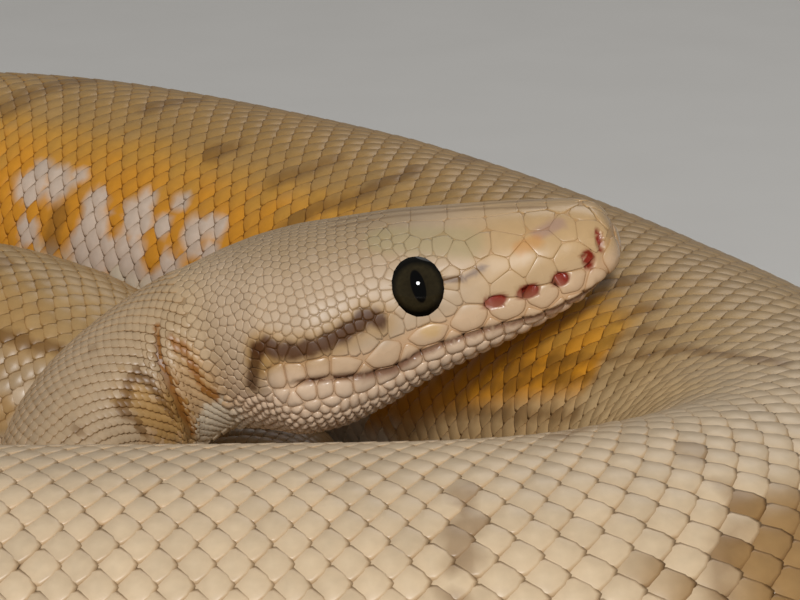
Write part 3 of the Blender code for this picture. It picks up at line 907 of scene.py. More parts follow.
def scatter_tree():
    """Sets the given shape on every point, turned and sized by the point's own values, as real mesh."""
    tree = bpy.data.node_groups.new("lay_scales", "GeometryNodeTree")
    taken = [("Geometry", "Geometry"), ("Scale Shape", "Object"), ("Thickness", "Float")]
    add_sockets(tree, taken + [("Finish", "Material")], [("Geometry", "Geometry")])
    nodes, link = tree.nodes, tree.links.new
    given = nodes.new("NodeGroupInput")
    result = nodes.new("NodeGroupOutput")
    shape = nodes.new("GeometryNodeObjectInfo")
    link(given.outputs["Scale Shape"], shape.inputs["Object"])
    named = {}
    for name in ("out", "rear", "size"):
        named[name] = nodes.new("GeometryNodeInputNamedAttribute")
        named[name].data_type = "FLOAT_VECTOR"
        named[name].inputs["Name"].default_value = name
    turn = nodes.new("FunctionNodeAxesToRotation")
    turn.primary_axis = "Z"
    turn.secondary_axis = "X"
    link(named["out"].outputs["Attribute"], turn.inputs["Primary Axis"])
    link(named["rear"].outputs["Attribute"], turn.inputs["Secondary Axis"])
    combine = nodes.new("ShaderNodeCombineXYZ")
    combine.inputs["X"].default_value = 1.0
    combine.inputs["Y"].default_value = 1.0
    link(given.outputs["Thickness"], combine.inputs["Z"])
    thick = nodes.new("ShaderNodeVectorMath")
    thick.operation = "MULTIPLY"
    link(named["size"].outputs["Attribute"], thick.inputs[0])
    link(combine.outputs["Vector"], thick.inputs[1])
    scatter = nodes.new("GeometryNodeInstanceOnPoints")
    link(given.outputs["Geometry"], scatter.inputs["Points"])
    link(shape.outputs["Geometry"], scatter.inputs["Instance"])
    link(turn.outputs["Rotation"], scatter.inputs["Rotation"])
    link(thick.outputs["Vector"], scatter.inputs["Scale"])
    realize = nodes.new("GeometryNodeRealizeInstances")
    finish = nodes.new("GeometryNodeSetMaterial")
    link(scatter.outputs["Instances"], realize.inputs["Geometry"])
    link(realize.outputs["Geometry"], finish.inputs["Geometry"])
    link(given.outputs["Finish"], finish.inputs["Material"])
    link(finish.outputs["Geometry"], result.inputs["Geometry"])
    return tree


def set_input(modifier, name, value):
    """Sets a tree's input by the identifier that its name stands for."""
    for item in modifier.node_group.interface.items_tree:
        if item.item_type == "SOCKET" and item.in_out == "INPUT" and item.name == name:
            modifier[item.identifier] = value


def scale_lattice():
    """Places of all scales: along, turn, row spacing and pitch of each, with odd rows half a step on."""
    end = WHOLE - COAT_END_GAP
    vent = TAIL_START * WHOLE
    places = np.arange(COAT_START, end, LATTICE_STEP)
    found = []
    for first, last, rows, ratio in ((COAT_START, vent, ROWS, PITCH_PER_RADIUS),
                                     (vent, end, TAIL_ROWS, TAIL_PITCH_PER_RADIUS)):
        part = places[(places >= first) & (places < last)]
        pitch = np.maximum(radius_at(part) * ratio, LEAST_PITCH)
        columns = np.concatenate([[0.0], np.cumsum(LATTICE_STEP / pitch)])[:-1]
        row_step = ROW_SPAN / rows
        for row in range(rows):
            turn = -ROW_SPAN / 2.0 + (row + 0.5) * row_step
            wanted = np.arange(0.5 * (row % 2), columns[-1], 1.0)
            along = np.interp(wanted, columns, part)
            step = np.interp(wanted, columns, pitch)
            same = np.ones(len(along))
            found.append(np.stack([along, turn * same, row_step * same, step], axis=1))
    return np.vstack(found)


def scale_cloud(name, along, turn, row_step, pitch):
    """One point for each scale on the skin, with its directions out and to the rear, and its size."""
    here, out, rear, side = surface_frame(along, turn)
    length = np.maximum(np.linalg.norm(rear, axis=1) * pitch, 0.3 * pitch)
    width = np.maximum(np.linalg.norm(side, axis=1) * row_step, 0.2 * pitch)
    height = np.sqrt(length * width)
    cloud = mesh_from(name + "_places", here - out * coat_depth(along)[:, None], [])
    store_points(cloud, "out", "FLOAT_VECTOR", out)
    store_points(cloud, "rear", "FLOAT_VECTOR", unit(rear))
    store_points(cloud, "size", "FLOAT_VECTOR", np.stack([length, width, height], axis=1))
    return cloud


def make_scale_piece(name, lattice, tree, shape, material):
    """One piece of the coat: the scales of one stretch of the body, coloured at each of their points."""
    along, turn, row_step, pitch = lattice.T
    first, last = along[0] - 1.0 * MM, along[-1] + 1.0 * MM
    jitter = rng.normal(0.0, 1.0, (len(along), 4))
    along = along + jitter[:, 0] * SCALE_JITTER * pitch
    turn = turn + jitter[:, 1] * SCALE_JITTER * row_step
    carrier = add_object(name, scale_cloud(name, along, turn, row_step, pitch))
    modifier = carrier.modifiers.new("lay_scales", "NODES")
    modifier.node_group = tree
    set_input(modifier, "Scale Shape", shape)
    set_input(modifier, "Thickness", 1.0)
    set_input(modifier, "Finish", material)
    graph = bpy.context.evaluated_depsgraph_get()
    mesh = bpy.data.meshes.new_from_object(carrier.evaluated_get(graph))
    carrier.modifiers.remove(modifier)
    carrier.data = mesh
    mesh.name = name
    each = len(shape.data.vertices)
    local = np.tile(mesh_vectors(shape.data, "co"), (len(along), 1))
    middles = np.repeat(np.arange(len(along)), each)
    tone = jitter[:, 2]
    within = SOFTNESS * local
    colours = colour_at(mesh_vectors(mesh, "co"), along[middles] + within[:, 0] * pitch[middles],
                        turn[middles] + within[:, 1] * row_step[middles], tone[middles])
    store_colours(mesh, colours)
    edges = np.empty(each)
    shape.data.attributes["edge"].data.foreach_get("value", edges)
    for old in ("edge", "out", "rear", "size"):
        if old in mesh.attributes:
            mesh.attributes.remove(mesh.attributes[old])
    store_points(mesh, "edge", "FLOAT", np.tile(edges, len(along)))
    root = np.stack([(along - first) / (last - first) * 0.98 + 0.01,
                     turn / (2.0 * math.pi) * 0.98 + 0.5], axis=1)
    store_bake_map(mesh, root[middles] + local[:, :2] * PATCH)
    mesh.shade_smooth()
    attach(carrier, "root")


def make_body_coat(material):
    """All body scales, from the front of the neck to the tail, in pieces of about the same size."""
    points, edge, faces = scale_shape()
    mesh = mesh_from("one_scale", points, faces)
    store_points(mesh, "edge", "FLOAT", edge)
    shape = bpy.data.objects.new("one_scale", mesh)
    tree = scatter_tree()
    lattice = scale_lattice()
    lattice = lattice[np.argsort(lattice[:, 0], kind="stable")]
    most = MOST_TRIANGLES // sum(len(face) - 2 for face in faces)
    pieces = math.ceil(len(lattice) / most)
    for number, part in enumerate(np.array_split(lattice, pieces)):
        make_scale_piece(f"body_scales_{number + 1:02d}", part, tree, shape, material)
    bpy.data.objects.remove(shape)
    bpy.data.node_groups.remove(tree)


# ------------------------------------------------------------------------------------- belly plates

# The rows of one belly plate, from its root on: place along it, height in the coat, how far it is rim, which
# the finish darkens and warms as painted shade.
BELLY_ROWS = ((-0.35, 0.05, 1.0), (0.0, 0.22, 0.2), (0.62, 0.42, 0.6), (0.70, 0.20, 1.0))
BELLY_ACROSS = 13
BELLY_TUCK = math.radians(3.0)
BELLY_END_GAP = 8.0 * MM
UNDERSIDE_DEPTH = 1.3 * BODY_COAT


def belly_plate_faces(base):
    """Faces round one plate, whose last row is its underside, and a cap at each end."""
    rows = len(BELLY_ROWS) + 1
    faces = []
    for k in range(rows):
        a, b = base + k * BELLY_ACROSS, base + ((k + 1) % rows) * BELLY_ACROSS
        faces += [(a + i, b + i, b + i + 1, a + i + 1) for i in range(BELLY_ACROSS - 1)]
    for i in (0, BELLY_ACROSS - 1):
        faces.append(tuple(base + k * BELLY_ACROSS + i for k in range(rows)))
    return faces


def make_belly(material):
    """Wide belly plates, each overlapping the next, from the throat to the tip of the tail."""
    points, faces, colours, edges, places = [], [], [], [], []
    across = np.linspace(-1.0, 1.0, BELLY_ACROSS)
    turn = math.pi + across * (math.pi - ROW_SPAN / 2.0 + BELLY_TUCK)
    same = np.ones(BELLY_ACROSS)
    along = COAT_START
    while along < WHOLE - BELLY_END_GAP:
        pitch = float(np.clip(0.2 * radius_at(along), 1.2 * MM, 4.9 * MM))
        thickest = THICKEST_COAT * float(radius_at(along))
        faces += belly_plate_faces(len(points))
        for share, lift, edge in BELLY_ROWS:
            here, out, _, _ = surface_frame(same * (along + share * pitch), turn)
            points.extend(here - out * min(BODY_COAT * (1.0 - lift), thickest))
            edges += [edge] * BELLY_ACROSS
            rows = same * (along / WHOLE) + share * PATCH * 0.5
            places.extend(np.column_stack([rows, 0.5 + across * 0.1]))
        here, out, _, _ = surface_frame(same * (along + 0.15 * pitch), turn)
        points.extend(here - out * UNDERSIDE_DEPTH)
        edges += [1.0] * BELLY_ACROSS
        places.extend(np.column_stack([same * (along / WHOLE), 0.5 + across * 0.1]))
        tone = rng.normal(0.0, 0.5)
        turns = np.tile(turn, len(BELLY_ROWS) + 1)
        colours.extend(body_colour(np.full(len(turns), along), turns, np.full(len(turns), tone)))
        along += pitch
    mesh = mesh_from("belly_plates", np.array(points), faces)
    face_outwards(mesh)
    store_colours(mesh, np.array(colours))
    store_points(mesh, "edge", "FLOAT", edges)
    store_bake_map(mesh, np.array(places))
    mesh.materials.append(material)
    mesh.shade_smooth()
    piece = add_object("belly_plates", mesh)
    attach(piece, "root")


# ------------------------------------------------------------------------------------- head plates

# Middles of the lip scales, back from the snout in mm.
UPPER_LABIALS = (5.2, 8.8, 12.9, 17.3, 21.7, 26.5, 31.2, 34.4, 37.2, 39.6)
LOWER_LABIALS = (2.6, 5.2, 7.8, 10.4, 12.8, 15.1, 17.3, 19.5, 21.8, 24.2, 26.8, 29.4, 31.9, 34.3, 36.6)
# How far out the lip scales lie, and how far above or below the mouth line, in mm.
JAW_SIDE = 8.0
JAW_FLARE = 0.28
LIP_RISE = 1.85
REAR_LIP_RISE = 1.5
REAR_LIP_FROM = 26.0
LOW_LIP_FALL = 1.45
# The plates at the tip of the snout and of the chin: back, out and up in mm.
TIP_PLATES = ((1.9, 3.4, -0.4, "lip"), (-0.5, 0.0, -0.6, "lip"), (0.6, 2.2, -3.6, "low_lip"))
# Large smooth plates over the snout and crown, then over the nose: back, out and up in mm.
CROWN_PLATES = ((1.6, 1.4, 20.0), (4.8, 1.7, 20.0), (8.6, 2.1, 20.0), (12.8, 2.2, 20.0), (17.2, 2.0, 20.0),
                (21.6, 2.0, 20.0), (10.6, 5.0, 8.5), (15.2, 5.6, 9.5), (19.8, 5.2, 10.5))
NOSE_PLATES = ((2.9, 4.4, 3.6), (5.3, 5.0, 4.6), (7.6, 6.2, 3.6), (10.4, 7.6, 2.9), (13.6, 8.2, 3.4),
               (16.6, 9.1, 2.4), (12.2, 7.0, 5.6), (17.0, 7.9, 5.9), (5.6, 7.1, 1.9), (9.0, 8.0, 1.6),
               (12.7, 8.8, 1.3))
# How much bare surface each kind of plate keeps round its middle, and how far it can reach, in mm.
CLEAR = {"lip": 3.2, "low_lip": 1.9, "crown": 2.7, "nose": 2.0, "rim": 1.0}
CORNER_CLEAR = 2.4
CORNER_FROM = 29.0 * MM
REACH = {"small": 1.8, "beyond": 1.8, "rim": 1.6, "lip": 3.6, "low_lip": 2.4, "crown": 3.6, "nose": 2.9}
# How high each kind's middle rises over its rim, in mm, and how darkly its rim is drawn as painted shade.
DOME = {"small": 0.010, "rim": 0.03, "lip": 0.15, "low_lip": 0.16, "crown": 0.008, "nose": 0.012}
RIM = {"small": 0.15, "rim": 0.3, "lip": 0.9, "low_lip": 1.0, "crown": 0.2, "nose": 0.2}
JAW_DOME = 0.20
SMOOTH_TOP = 0.14
PROUD_TOP = 0.30
EYE_RIM_SCALES = 17
EYE_RIM_OUT = 0.55 * MM
# The width of the small plates: places back in mm, then widths in mm.
SMALL_PLATES = ((0.0, 12.0, 20.0, 30.0, 40.0, 47.5), (1.8, 2.0, 1.6, 1.25, 1.15, 1.25))
# Small plates lie in rows from ROWS_FROM to PACKED_FROM, then are packed singly. Those past PLATES_TO only
# bound the others and aren't made.
ROWS_FROM = 1.2
ROW_PITCH = 0.86
PACKED_FROM = 38.0
PLATES_TO = 48.0
PACKED_TO = 50.5
PACKED_STEP = 0.25
PACKED_TRIES = 300
PACKED_ROOM = 0.84
PACKED_NEAR = 700
RING_STEPS = 241
NEIGHBOURS = 21
SMALL_SIDES = 10
LARGE_SIDES = 26
HEAD_MAP_LENGTH = 50.0 * MM


def seat_on(tree, points):
    """The nearest places on the smooth head and the directions out of it."""
    seats, outs = np.empty_like(points), np.empty_like(points)
    for i, point in enumerate(points):
        seat, normal, _, _ = tree.find_nearest(Vector(point))
        seats[i], outs[i] = seat, normal
    return seats, outs


def planned_seeds(tree):
    """Centres of the lip, snout, nose and crown plates, and of the small ones round each eye."""
    seeds, kinds = [], []

    def add(back, side, up, kind):
        for sign in ((1.0,) if side == 0.0 else (1.0, -1.0)):
            seeds.append(head_point(back * MM, sign * side * MM, up * MM))
            kinds.append(kind)

    for back in UPPER_LABIALS:
        rise = LIP_RISE if back < REAR_LIP_FROM else REAR_LIP_RISE
        add(back, JAW_SIDE + JAW_FLARE * back, float(mouth_height(back * MM) / MM) + rise, "lip")
    for back in LOWER_LABIALS:
        add(back, JAW_SIDE + JAW_FLARE * back, float(mouth_height(back * MM) / MM) - LOW_LIP_FALL, "low_lip")
    for back, side, up, kind in TIP_PLATES:
        add(back, side, up, kind)
    for back, side, up in CROWN_PLATES:
        add(back, side, up, "crown")
    for back, side, up in NOSE_PLATES:
        add(back, side, up, "nose")
    for sign in (1.0, -1.0):
        seat, out = eye_seat(tree, sign)
        across = unit(BACK - out * (BACK @ out))
        above = np.cross(across, out)
        for i in range(EYE_RIM_SCALES):
            angle = 2.0 * math.pi * i / EYE_RIM_SCALES
            around = across * math.cos(angle) + above * math.sin(angle) * EYE_LOWER
            seeds.append(seat + around * (EYE_OPENING + EYE_RIM_OUT))
            kinds.append("rim")
    return seeds, kinds


def small_seeds(seeds, kinds):
    """Adds the centres of the small plates: rows round the head, then singly packed ones to the neck."""
    back = ROWS_FROM
    row = 0
    while back < PACKED_FROM:
        size = float(np.interp(back, *SMALL_PLATES))
        ring = surface(np.full(RING_STEPS, back * MM), np.linspace(-math.pi, math.pi, RING_STEPS))
        travelled = np.concatenate([[0.0], np.cumsum(np.linalg.norm(np.diff(ring, axis=0), axis=1))])
        count = 2 * max(3, round(travelled[-1] / (size * MM) / 2.0))
        where = (np.arange(count) + 0.5 * (row % 2)) / count * travelled[-1]
        seeds.extend(np.stack([np.interp(where, travelled, ring[:, k]) for k in range(3)], axis=1))
        kinds.extend(["small"] * count)
        back += size * ROW_PITCH
        row += 1
    kept = np.array(seeds)
    while back < PACKED_TO:
        room = PACKED_ROOM * (float(np.interp(back, *SMALL_PLATES)) * MM)
        turns = rng.permutation(PACKED_TRIES) * 2.0 * math.pi / PACKED_TRIES
        for place in surface(np.full(PACKED_TRIES, back * MM), turns):
            if np.min(np.linalg.norm(kept[-PACKED_NEAR:] - place, axis=1)) > room:
                kept = np.vstack([kept, place])
                kinds.append("small" if back < PLATES_TO else "beyond")
        back += PACKED_STEP
    return kept, np.array(kinds)


def head_seeds(tree):
    """Centres of all head plates on the smooth head, with the directions out and the kinds."""
    seeds, kinds = planned_seeds(tree)
    planned = len(seeds)
    seeds, kinds = small_seeds(seeds, kinds)
    shake = rng.normal(0.0, 0.10 * MM, seeds.shape)
    shake[:planned] = 0.0
    seeds, outs = seat_on(tree, seeds + shake)
    keep = np.ones(len(seeds), bool)
    for i in range(planned):
        by_corner = kinds[i] == "lip" and head_places(seeds[i])[0] > CORNER_FROM
        room = CORNER_CLEAR if by_corner else CLEAR[kinds[i]]
        near = np.linalg.norm(seeds - seeds[i], axis=1) < room * MM
        keep &= ~(near & (kinds == "small"))
    for sign in (1.0, -1.0):
        in_eye = np.linalg.norm(seeds - eye_seat(tree, sign)[0], axis=1) < EYE_OPENING + 0.2 * MM
        keep &= ~(in_eye & (kinds == "small"))
    return seeds[keep], outs[keep], kinds[keep]


def clipped(polygon, direction, limit):
    """The part of a flat polygon on the near side of a line."""
    result = []
    ahead = polygon @ direction - limit
    for i in range(len(polygon)):
        j = (i + 1) % len(polygon)
        if ahead[i] <= 0.0:
            result.append(polygon[i])
        if (ahead[i] < 0.0) != (ahead[j] < 0.0) and ahead[i] != ahead[j]:
            share = ahead[i] / (ahead[i] - ahead[j])
            result.append(polygon[i] + (polygon[j] - polygon[i]) * share)
    return np.array(result)


def plate_outline(seed, out, others, reach):
    """The cell round a seed, flattened, with the two directions that span it."""
    first = unit(np.cross(out, LEFT if abs(out @ LEFT) < 0.9 else UP))
    second = np.cross(out, first)
    cell = np.array([(-1.0, -1.0), (1.0, -1.0), (1.0, 1.0), (-1.0, 1.0)]) * reach
    for other in others:
        away = other - seed
        flat = np.array([away @ first, away @ second])
        size = np.linalg.norm(flat)
        if size < 1e-9:
            continue
        cell = clipped(cell, flat / size, 0.5 * np.linalg.norm(away))
        if len(cell) < 3:
            return None, first, second
    return cell, first, second


def rounded(cell, count, gap, ease):
    """A polygon drawn in by the gap, with its corners eased, as evenly spaced points."""
    middle = cell.mean(axis=0)
    size = np.linalg.norm(cell - middle, axis=1).mean()
    cell = middle + (cell - middle) * max(0.5, 1.0 - gap / size)
    eased = []
    for i in range(len(cell)):
        j = (i + 1) % len(cell)
        eased += [cell[i] * (1.0 - ease) + cell[j] * ease, cell[i] * ease + cell[j] * (1.0 - ease)]
    eased = np.array(eased + eased[:1])
    travelled = np.concatenate([[0.0], np.cumsum(np.linalg.norm(np.diff(eased, axis=0), axis=1))])
    where = np.linspace(0.0, travelled[-1], count, endpoint=False)
    return middle, np.stack([np.interp(where, travelled, eased[:, k]) for k in range(2)], axis=1)


def clear_openings(points, tree):
    """Points that would cover an eye or a heat pit, moved straight out to its rim."""
    moved = points.copy()
    for sign in (1.0, -1.0):
        seat, out = eye_seat(tree, sign)
        away = moved - seat
        flat = away - (away @ out)[:, None] * out
        reach = eye_reach(flat, out)
        inside = (reach < EYE_OPENING) & (np.linalg.norm(away, axis=1) < 2.0 * EYE_OPENING)
        moved[inside] += flat[inside] * (EYE_OPENING / np.maximum(reach[inside], 1e-6) - 1.0)[:, None]
    back, left, up = head_places(moved)
    for pit in LIP_PITS:
        reach = pit_reach(back / MM, np.abs(left) / MM, up / MM, pit)
        inside = reach < 1.0
        grow = 1.0 / np.maximum(reach[inside], 0.15) - 1.0
        moved[inside] += (((back[inside] - pit[0] * MM) * grow)[:, None] * BACK
                          + ((up[inside] - pit[2] * MM) * grow)[:, None] * UP)
    return moved


def plate_levels(kind, on_jaw, size):
    """The rings of a plate from its underside up: size, height in mm and share of rim; then its top."""
    proud = on_jaw or kind in ("lip", "low_lip")
    dome = JAW_DOME if kind == "small" and on_jaw else DOME[kind]
    top = (PROUD_TOP if proud else SMOOTH_TOP) - dome
    bevel = min(0.20 * MM, 0.3 * size) / size
    fall = 0.10 if proud else 0.014
    rim = RIM[kind]
    levels = [
        (1.0, -0.25, rim),
        (1.0, top - fall, rim),
        (1.0 - 0.45 * bevel, top - 0.2 * fall, 0.7 * rim),
        (1.0 - bevel, top + 0.12 * dome, 0.2 * rim),
        (0.66, top + 0.60 * dome, 0.0),
        (0.40, top + 0.88 * dome, 0.0),
    ]
    if kind in ("small", "rim"):
        levels = levels[:2] + [levels[3], levels[5]]
    return levels, top + dome


def plate_faces(base, count, rings):
    """Faces of one plate: its underside, the bands between its rings and the fan on top."""
    faces = [tuple(range(base, base + count))]
    last = base + (rings - 1) * count
    for a in range(base, last, count):
        for i in range(count):
            j = (i + 1) % count
            faces.append((a + i, a + count + i, a + count + j, a + j))
    return faces + [(last + i, last + count, last + (i + 1) % count) for i in range(count)]


def edge_form(kind, on_jaw):
    """How far a plate's rim is drawn in, in mm, and how much its corners are eased."""
    if kind in ("lip", "low_lip"):
        return 0.045, 0.2
    return (0.020, 0.2) if on_jaw else (0.003, 0.06)


def seat_plates(points, lifts, tree):
    """Lays flat plates on the smooth head, clear of the eyes and the pits, at their heights in the coat."""
    seats, outs = seat_on(tree, clear_openings(points, tree))
    sunk = np.minimum(sunk_features(seats, tree), 0.75 * MM)
    for sign in (1.0, -1.0):
        by_eye = np.linalg.norm(seats - eye_seat(tree, sign)[0], axis=1) < EYE_OPENING + 0.6 * MM
        sunk[by_eye] = 0.0
    depth = coat_depth(head_places(seats)[0])
    return seats + outs * (lifts * MM - depth - 0.75 * sunk)[:, None]


def head_turn(left, up):
    """The turn round the head at which a place lies."""
    return np.arctan2(-left, up + 2.0 * MM)


def make_head_coat(tree, material):
    """Every head plate as a closed domed piece cut from the cell round its centre, all in one mesh."""
    seeds, outs, kinds = head_seeds(tree)
    seed_back, _, seed_up = head_places(seeds)
    on_jaw = seed_up < mouth_height(seed_back) - 1.0 * MM
    points, lifts, edges, tones, roots, spread, faces = [], [], [], [], [], [], []
    for i, (seed, kind) in enumerate(zip(seeds, kinds)):
        near = np.argsort(np.linalg.norm(seeds - seed, axis=1))[1:NEIGHBOURS + 1]
        cell, first, second = plate_outline(seed, outs[i], seeds[near], REACH[kind] * MM)
        if cell is None or kind == "beyond":
            continue
        count = SMALL_SIDES if kind == "small" else LARGE_SIDES
        gap, ease = edge_form(kind, on_jaw[i])
        middle, outline = rounded(cell, count, gap * MM, ease)
        size = np.linalg.norm(outline - middle, axis=1).mean()
        levels, summit = plate_levels(kind, on_jaw[i], size)
        faces += plate_faces(len(points), count, len(levels))
        for share, lift, edge in levels + [(0.0, summit, 0.0)]:
            ring = middle + (outline - middle) * share if share > 0.0 else middle[None]
            points.extend(seed + ring[:, :1] * first + ring[:, 1:] * second)
            lifts += [lift] * len(ring)
            edges += [edge] * len(ring)
            spread.extend(ring / (2.0 * size))
        added = len(points) - len(roots)
        tones += [rng.normal(0.0, 1.0)] * added
        roots += [seed] * added
    seats = seat_plates(np.array(points), np.array(lifts), tree)
    mesh = mesh_from("head_plates", seats, faces)
    face_outwards(mesh)
    back, left, up = head_places(seats)
    along = back + np.where(back > 40.0 * MM, 0.5 * MM, 0.0)
    store_colours(mesh, colour_at(seats, along, head_turn(left, up), np.array(tones)))
    store_points(mesh, "edge", "FLOAT", edges)
    low = smoothstep((mouth_height(back) + 4.0 * MM - up) / (2.0 * MM))
    store_points(mesh, "wetness", "FLOAT", np.maximum(low, smoothstep((14.0 * MM - back) / (6.0 * MM))))
    back, left, up = head_places(np.array(roots))
    turn = head_turn(left, up)
    root = np.stack([back / HEAD_MAP_LENGTH * 0.9 + 0.05, turn / (2.0 * math.pi) * 0.98 + 0.5], axis=1)
    store_bake_map(mesh, root + np.array(spread) * PATCH)
    mesh.materials.append(material)
    mesh.shade_smooth()
    piece = add_object("head_plates", mesh)
    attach(piece, "root")


# ------------------------------------------------------------------------------------- eyes

def make_eye(name, sign, tree, material):
    """A clear-capped eye, whose points keep their places across it, in eye radii, for iris and pupil."""
    bm = bmesh.new()
    bmesh.ops.create_uvsphere(bm, u_segments=64, v_segments=40, radius=EYE_CURVE)
    mesh = bpy.data.meshes.new(name)
    bm.to_mesh(mesh)
    bm.free()
    points = mesh_vectors(mesh, "co")
    seat, out = eye_seat(tree, sign)
    rear = unit(BACK - out * (BACK @ out))
    high = np.cross(rear, out) * sign
    high = high if high @ UP > 0.0 else -high
    turn = np.stack([rear, high, out])
    centre = seat - out * (EYE_CURVE - EYE_BULGE)
    mesh.vertices.foreach_set("co", (points @ turn + centre).ravel())
    if np.linalg.det(turn) < 0.0:
        mesh.flip_normals()
    mesh.update()
    store_points(mesh, "gaze", "FLOAT_VECTOR", points / EYE_OPENING)
    mesh.materials.append(material)
    mesh.shade_smooth()
    piece = add_object(name, mesh)
    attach(piece, "root")
    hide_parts("eye_left" if sign > 0.0 else "eye_right")


# ------------------------------------------------------------------------------------- finishes

# Warm tint multiplied in by the rim mask: painted shade at the edges of scales and plates, and at half
# strength on the skin between them.
WARM_RIM_SHADE = (0.84, 0.71, 0.56, 1.0)
SMOOTHEST = 0.26
ROUGHEST = 0.48
WET_SHINE = -0.45
RELIEF_DEPTH = 0.05 * MM
SCALE_SHEEN = 0.38
# The iris: places across the eye in eye radii, with the colour there.
IRIS_MIDDLE = (0.25, (0.021, 0.0155, 0.007, 1.0))
IRIS_BRIGHTEST = (0.78, (0.030, 0.0225, 0.010, 1.0))
IRIS_RIM = (1.0, (0.003, 0.0025, 0.0015, 1.0))
# The slit pupil: its colour, how much narrower than high it is, and where its soft edge ends and begins.
PUPIL = (0.0012, 0.0012, 0.0012, 1.0)
PUPIL_NARROWNESS = 0.17
PUPIL_EDGE = (0.290, 0.255)

def new_material(name):
    material = bpy.data.materials.new(name)
    material.use_nodes = True
    nodes = material.node_tree.nodes
    return material, nodes, material.node_tree.links.new, nodes["Principled BSDF"]


def maths(nodes, link, operation, *values):
    """The result of a maths node on plain numbers and other nodes' outputs."""
    node = nodes.new("ShaderNodeMath")
    node.operation = operation
    for slot, value in enumerate(values):
        if isinstance(value, float):
            node.inputs[slot].default_value = value
        else:
            link(value, node.inputs[slot])
    return node.outputs[0]


def noise(nodes, link, scale, detail):
    """A noise fixed to the object."""
    place = nodes.new("ShaderNodeTexCoord")
    node = nodes.new("ShaderNodeTexNoise")
    node.inputs["Scale"].default_value = scale
    node.inputs["Detail"].default_value = detail
    link(place.outputs["Object"], node.inputs["Vector"])
    return node.outputs["Fac"]


def stored(nodes, name, output):
    """A value or colour that the mesh keeps at every point."""
    node = nodes.new("ShaderNodeAttribute")
    node.attribute_name = name
    return node.outputs[output]


def mix_colours(nodes, link, blend, share, first, second):
    """One colour mixed over another; each is a node's output or a plain colour."""
    node = nodes.new("ShaderNodeMix")
    node.data_type = "RGBA"
    node.blend_type = blend
    for slot, value in ((0, share), (6, first), (7, second)):
        if isinstance(value, (float, tuple)):
            node.inputs[slot].default_value = value
        else:
            link(value, node.inputs[slot])
    return node.outputs[2]


def scale_finish_group():
    """Turns markings and a rim mask into colour, roughness and fine relief, with mottling in the scale; the
    rim mask darkens and warms the colour as painted shade.
    """
    group = bpy.data.node_groups.new("scale_finish", "ShaderNodeTree")
    taken = (("Markings", "Color"), ("Rim", "Float"), ("Rim Shade", "Float"), ("Mottle", "Float"))
    add_sockets(group, taken, (("Colour", "Color"), ("Roughness", "Float"), ("Relief", "Float")))
    nodes, link = group.nodes, group.links.new
    given, result = nodes.new("NodeGroupInput"), nodes.new("NodeGroupOutput")
    speckle = noise(nodes, link, 900.0, 4.0)
    cloud = noise(nodes, link, 160.0, 3.0)
    centred = maths(nodes, link, "SUBTRACT", maths(nodes, link, "ADD", speckle, cloud), 1.0)
    mottled = maths(nodes, link, "MULTIPLY_ADD", centred, given.outputs["Mottle"], 1.0)
    shade = maths(nodes, link, "MULTIPLY", given.outputs["Rim"], given.outputs["Rim Shade"])
    tint = nodes.new("ShaderNodeVectorMath")
    tint.operation = "SCALE"
    link(given.outputs["Markings"], tint.inputs[0])
    link(maths(nodes, link, "SUBTRACT", mottled, shade), tint.inputs["Scale"])
    warm = mix_colours(nodes, link, "MULTIPLY", given.outputs["Rim"], tint.outputs["Vector"], WARM_RIM_SHADE)
    link(warm, result.inputs["Colour"])
    rough = nodes.new("ShaderNodeMapRange")
    rough.inputs["To Min"].default_value = SMOOTHEST
    rough.inputs["To Max"].default_value = ROUGHEST
    link(cloud, rough.inputs["Value"])
    link(rough.outputs["Result"], result.inputs["Roughness"])
    link(speckle, result.inputs["Relief"])
    return group


def make_scaly(name, group, rim_shade, mottle, relief, dullness):
    """A skin or scale material: the shared finish on its own markings, glossier where it is wet."""
    material, nodes, link, shader = new_material(name)
    finish = nodes.new("ShaderNodeGroup")
    finish.node_tree = group
    finish.inputs["Rim Shade"].default_value = rim_shade
    finish.inputs["Mottle"].default_value = mottle
    link(stored(nodes, "markings", "Color"), finish.inputs["Markings"])
    link(stored(nodes, "edge", "Fac"), finish.inputs["Rim"])
    link(finish.outputs["Colour"], shader.inputs["Base Color"])
    dry = maths(nodes, link, "MULTIPLY_ADD", stored(nodes, "wetness", "Fac"), WET_SHINE, dullness)
    link(maths(nodes, link, "MULTIPLY", finish.outputs["Roughness"], dry), shader.inputs["Roughness"])
    bump = nodes.new("ShaderNodeBump")
    bump.inputs["Strength"].default_value = relief
    bump.inputs["Distance"].default_value = RELIEF_DEPTH
    link(finish.outputs["Relief"], bump.inputs["Height"])
    link(bump.outputs["Normal"], shader.inputs["Normal"])
    shader.inputs["Specular IOR Level"].default_value = SCALE_SHEEN
    return material


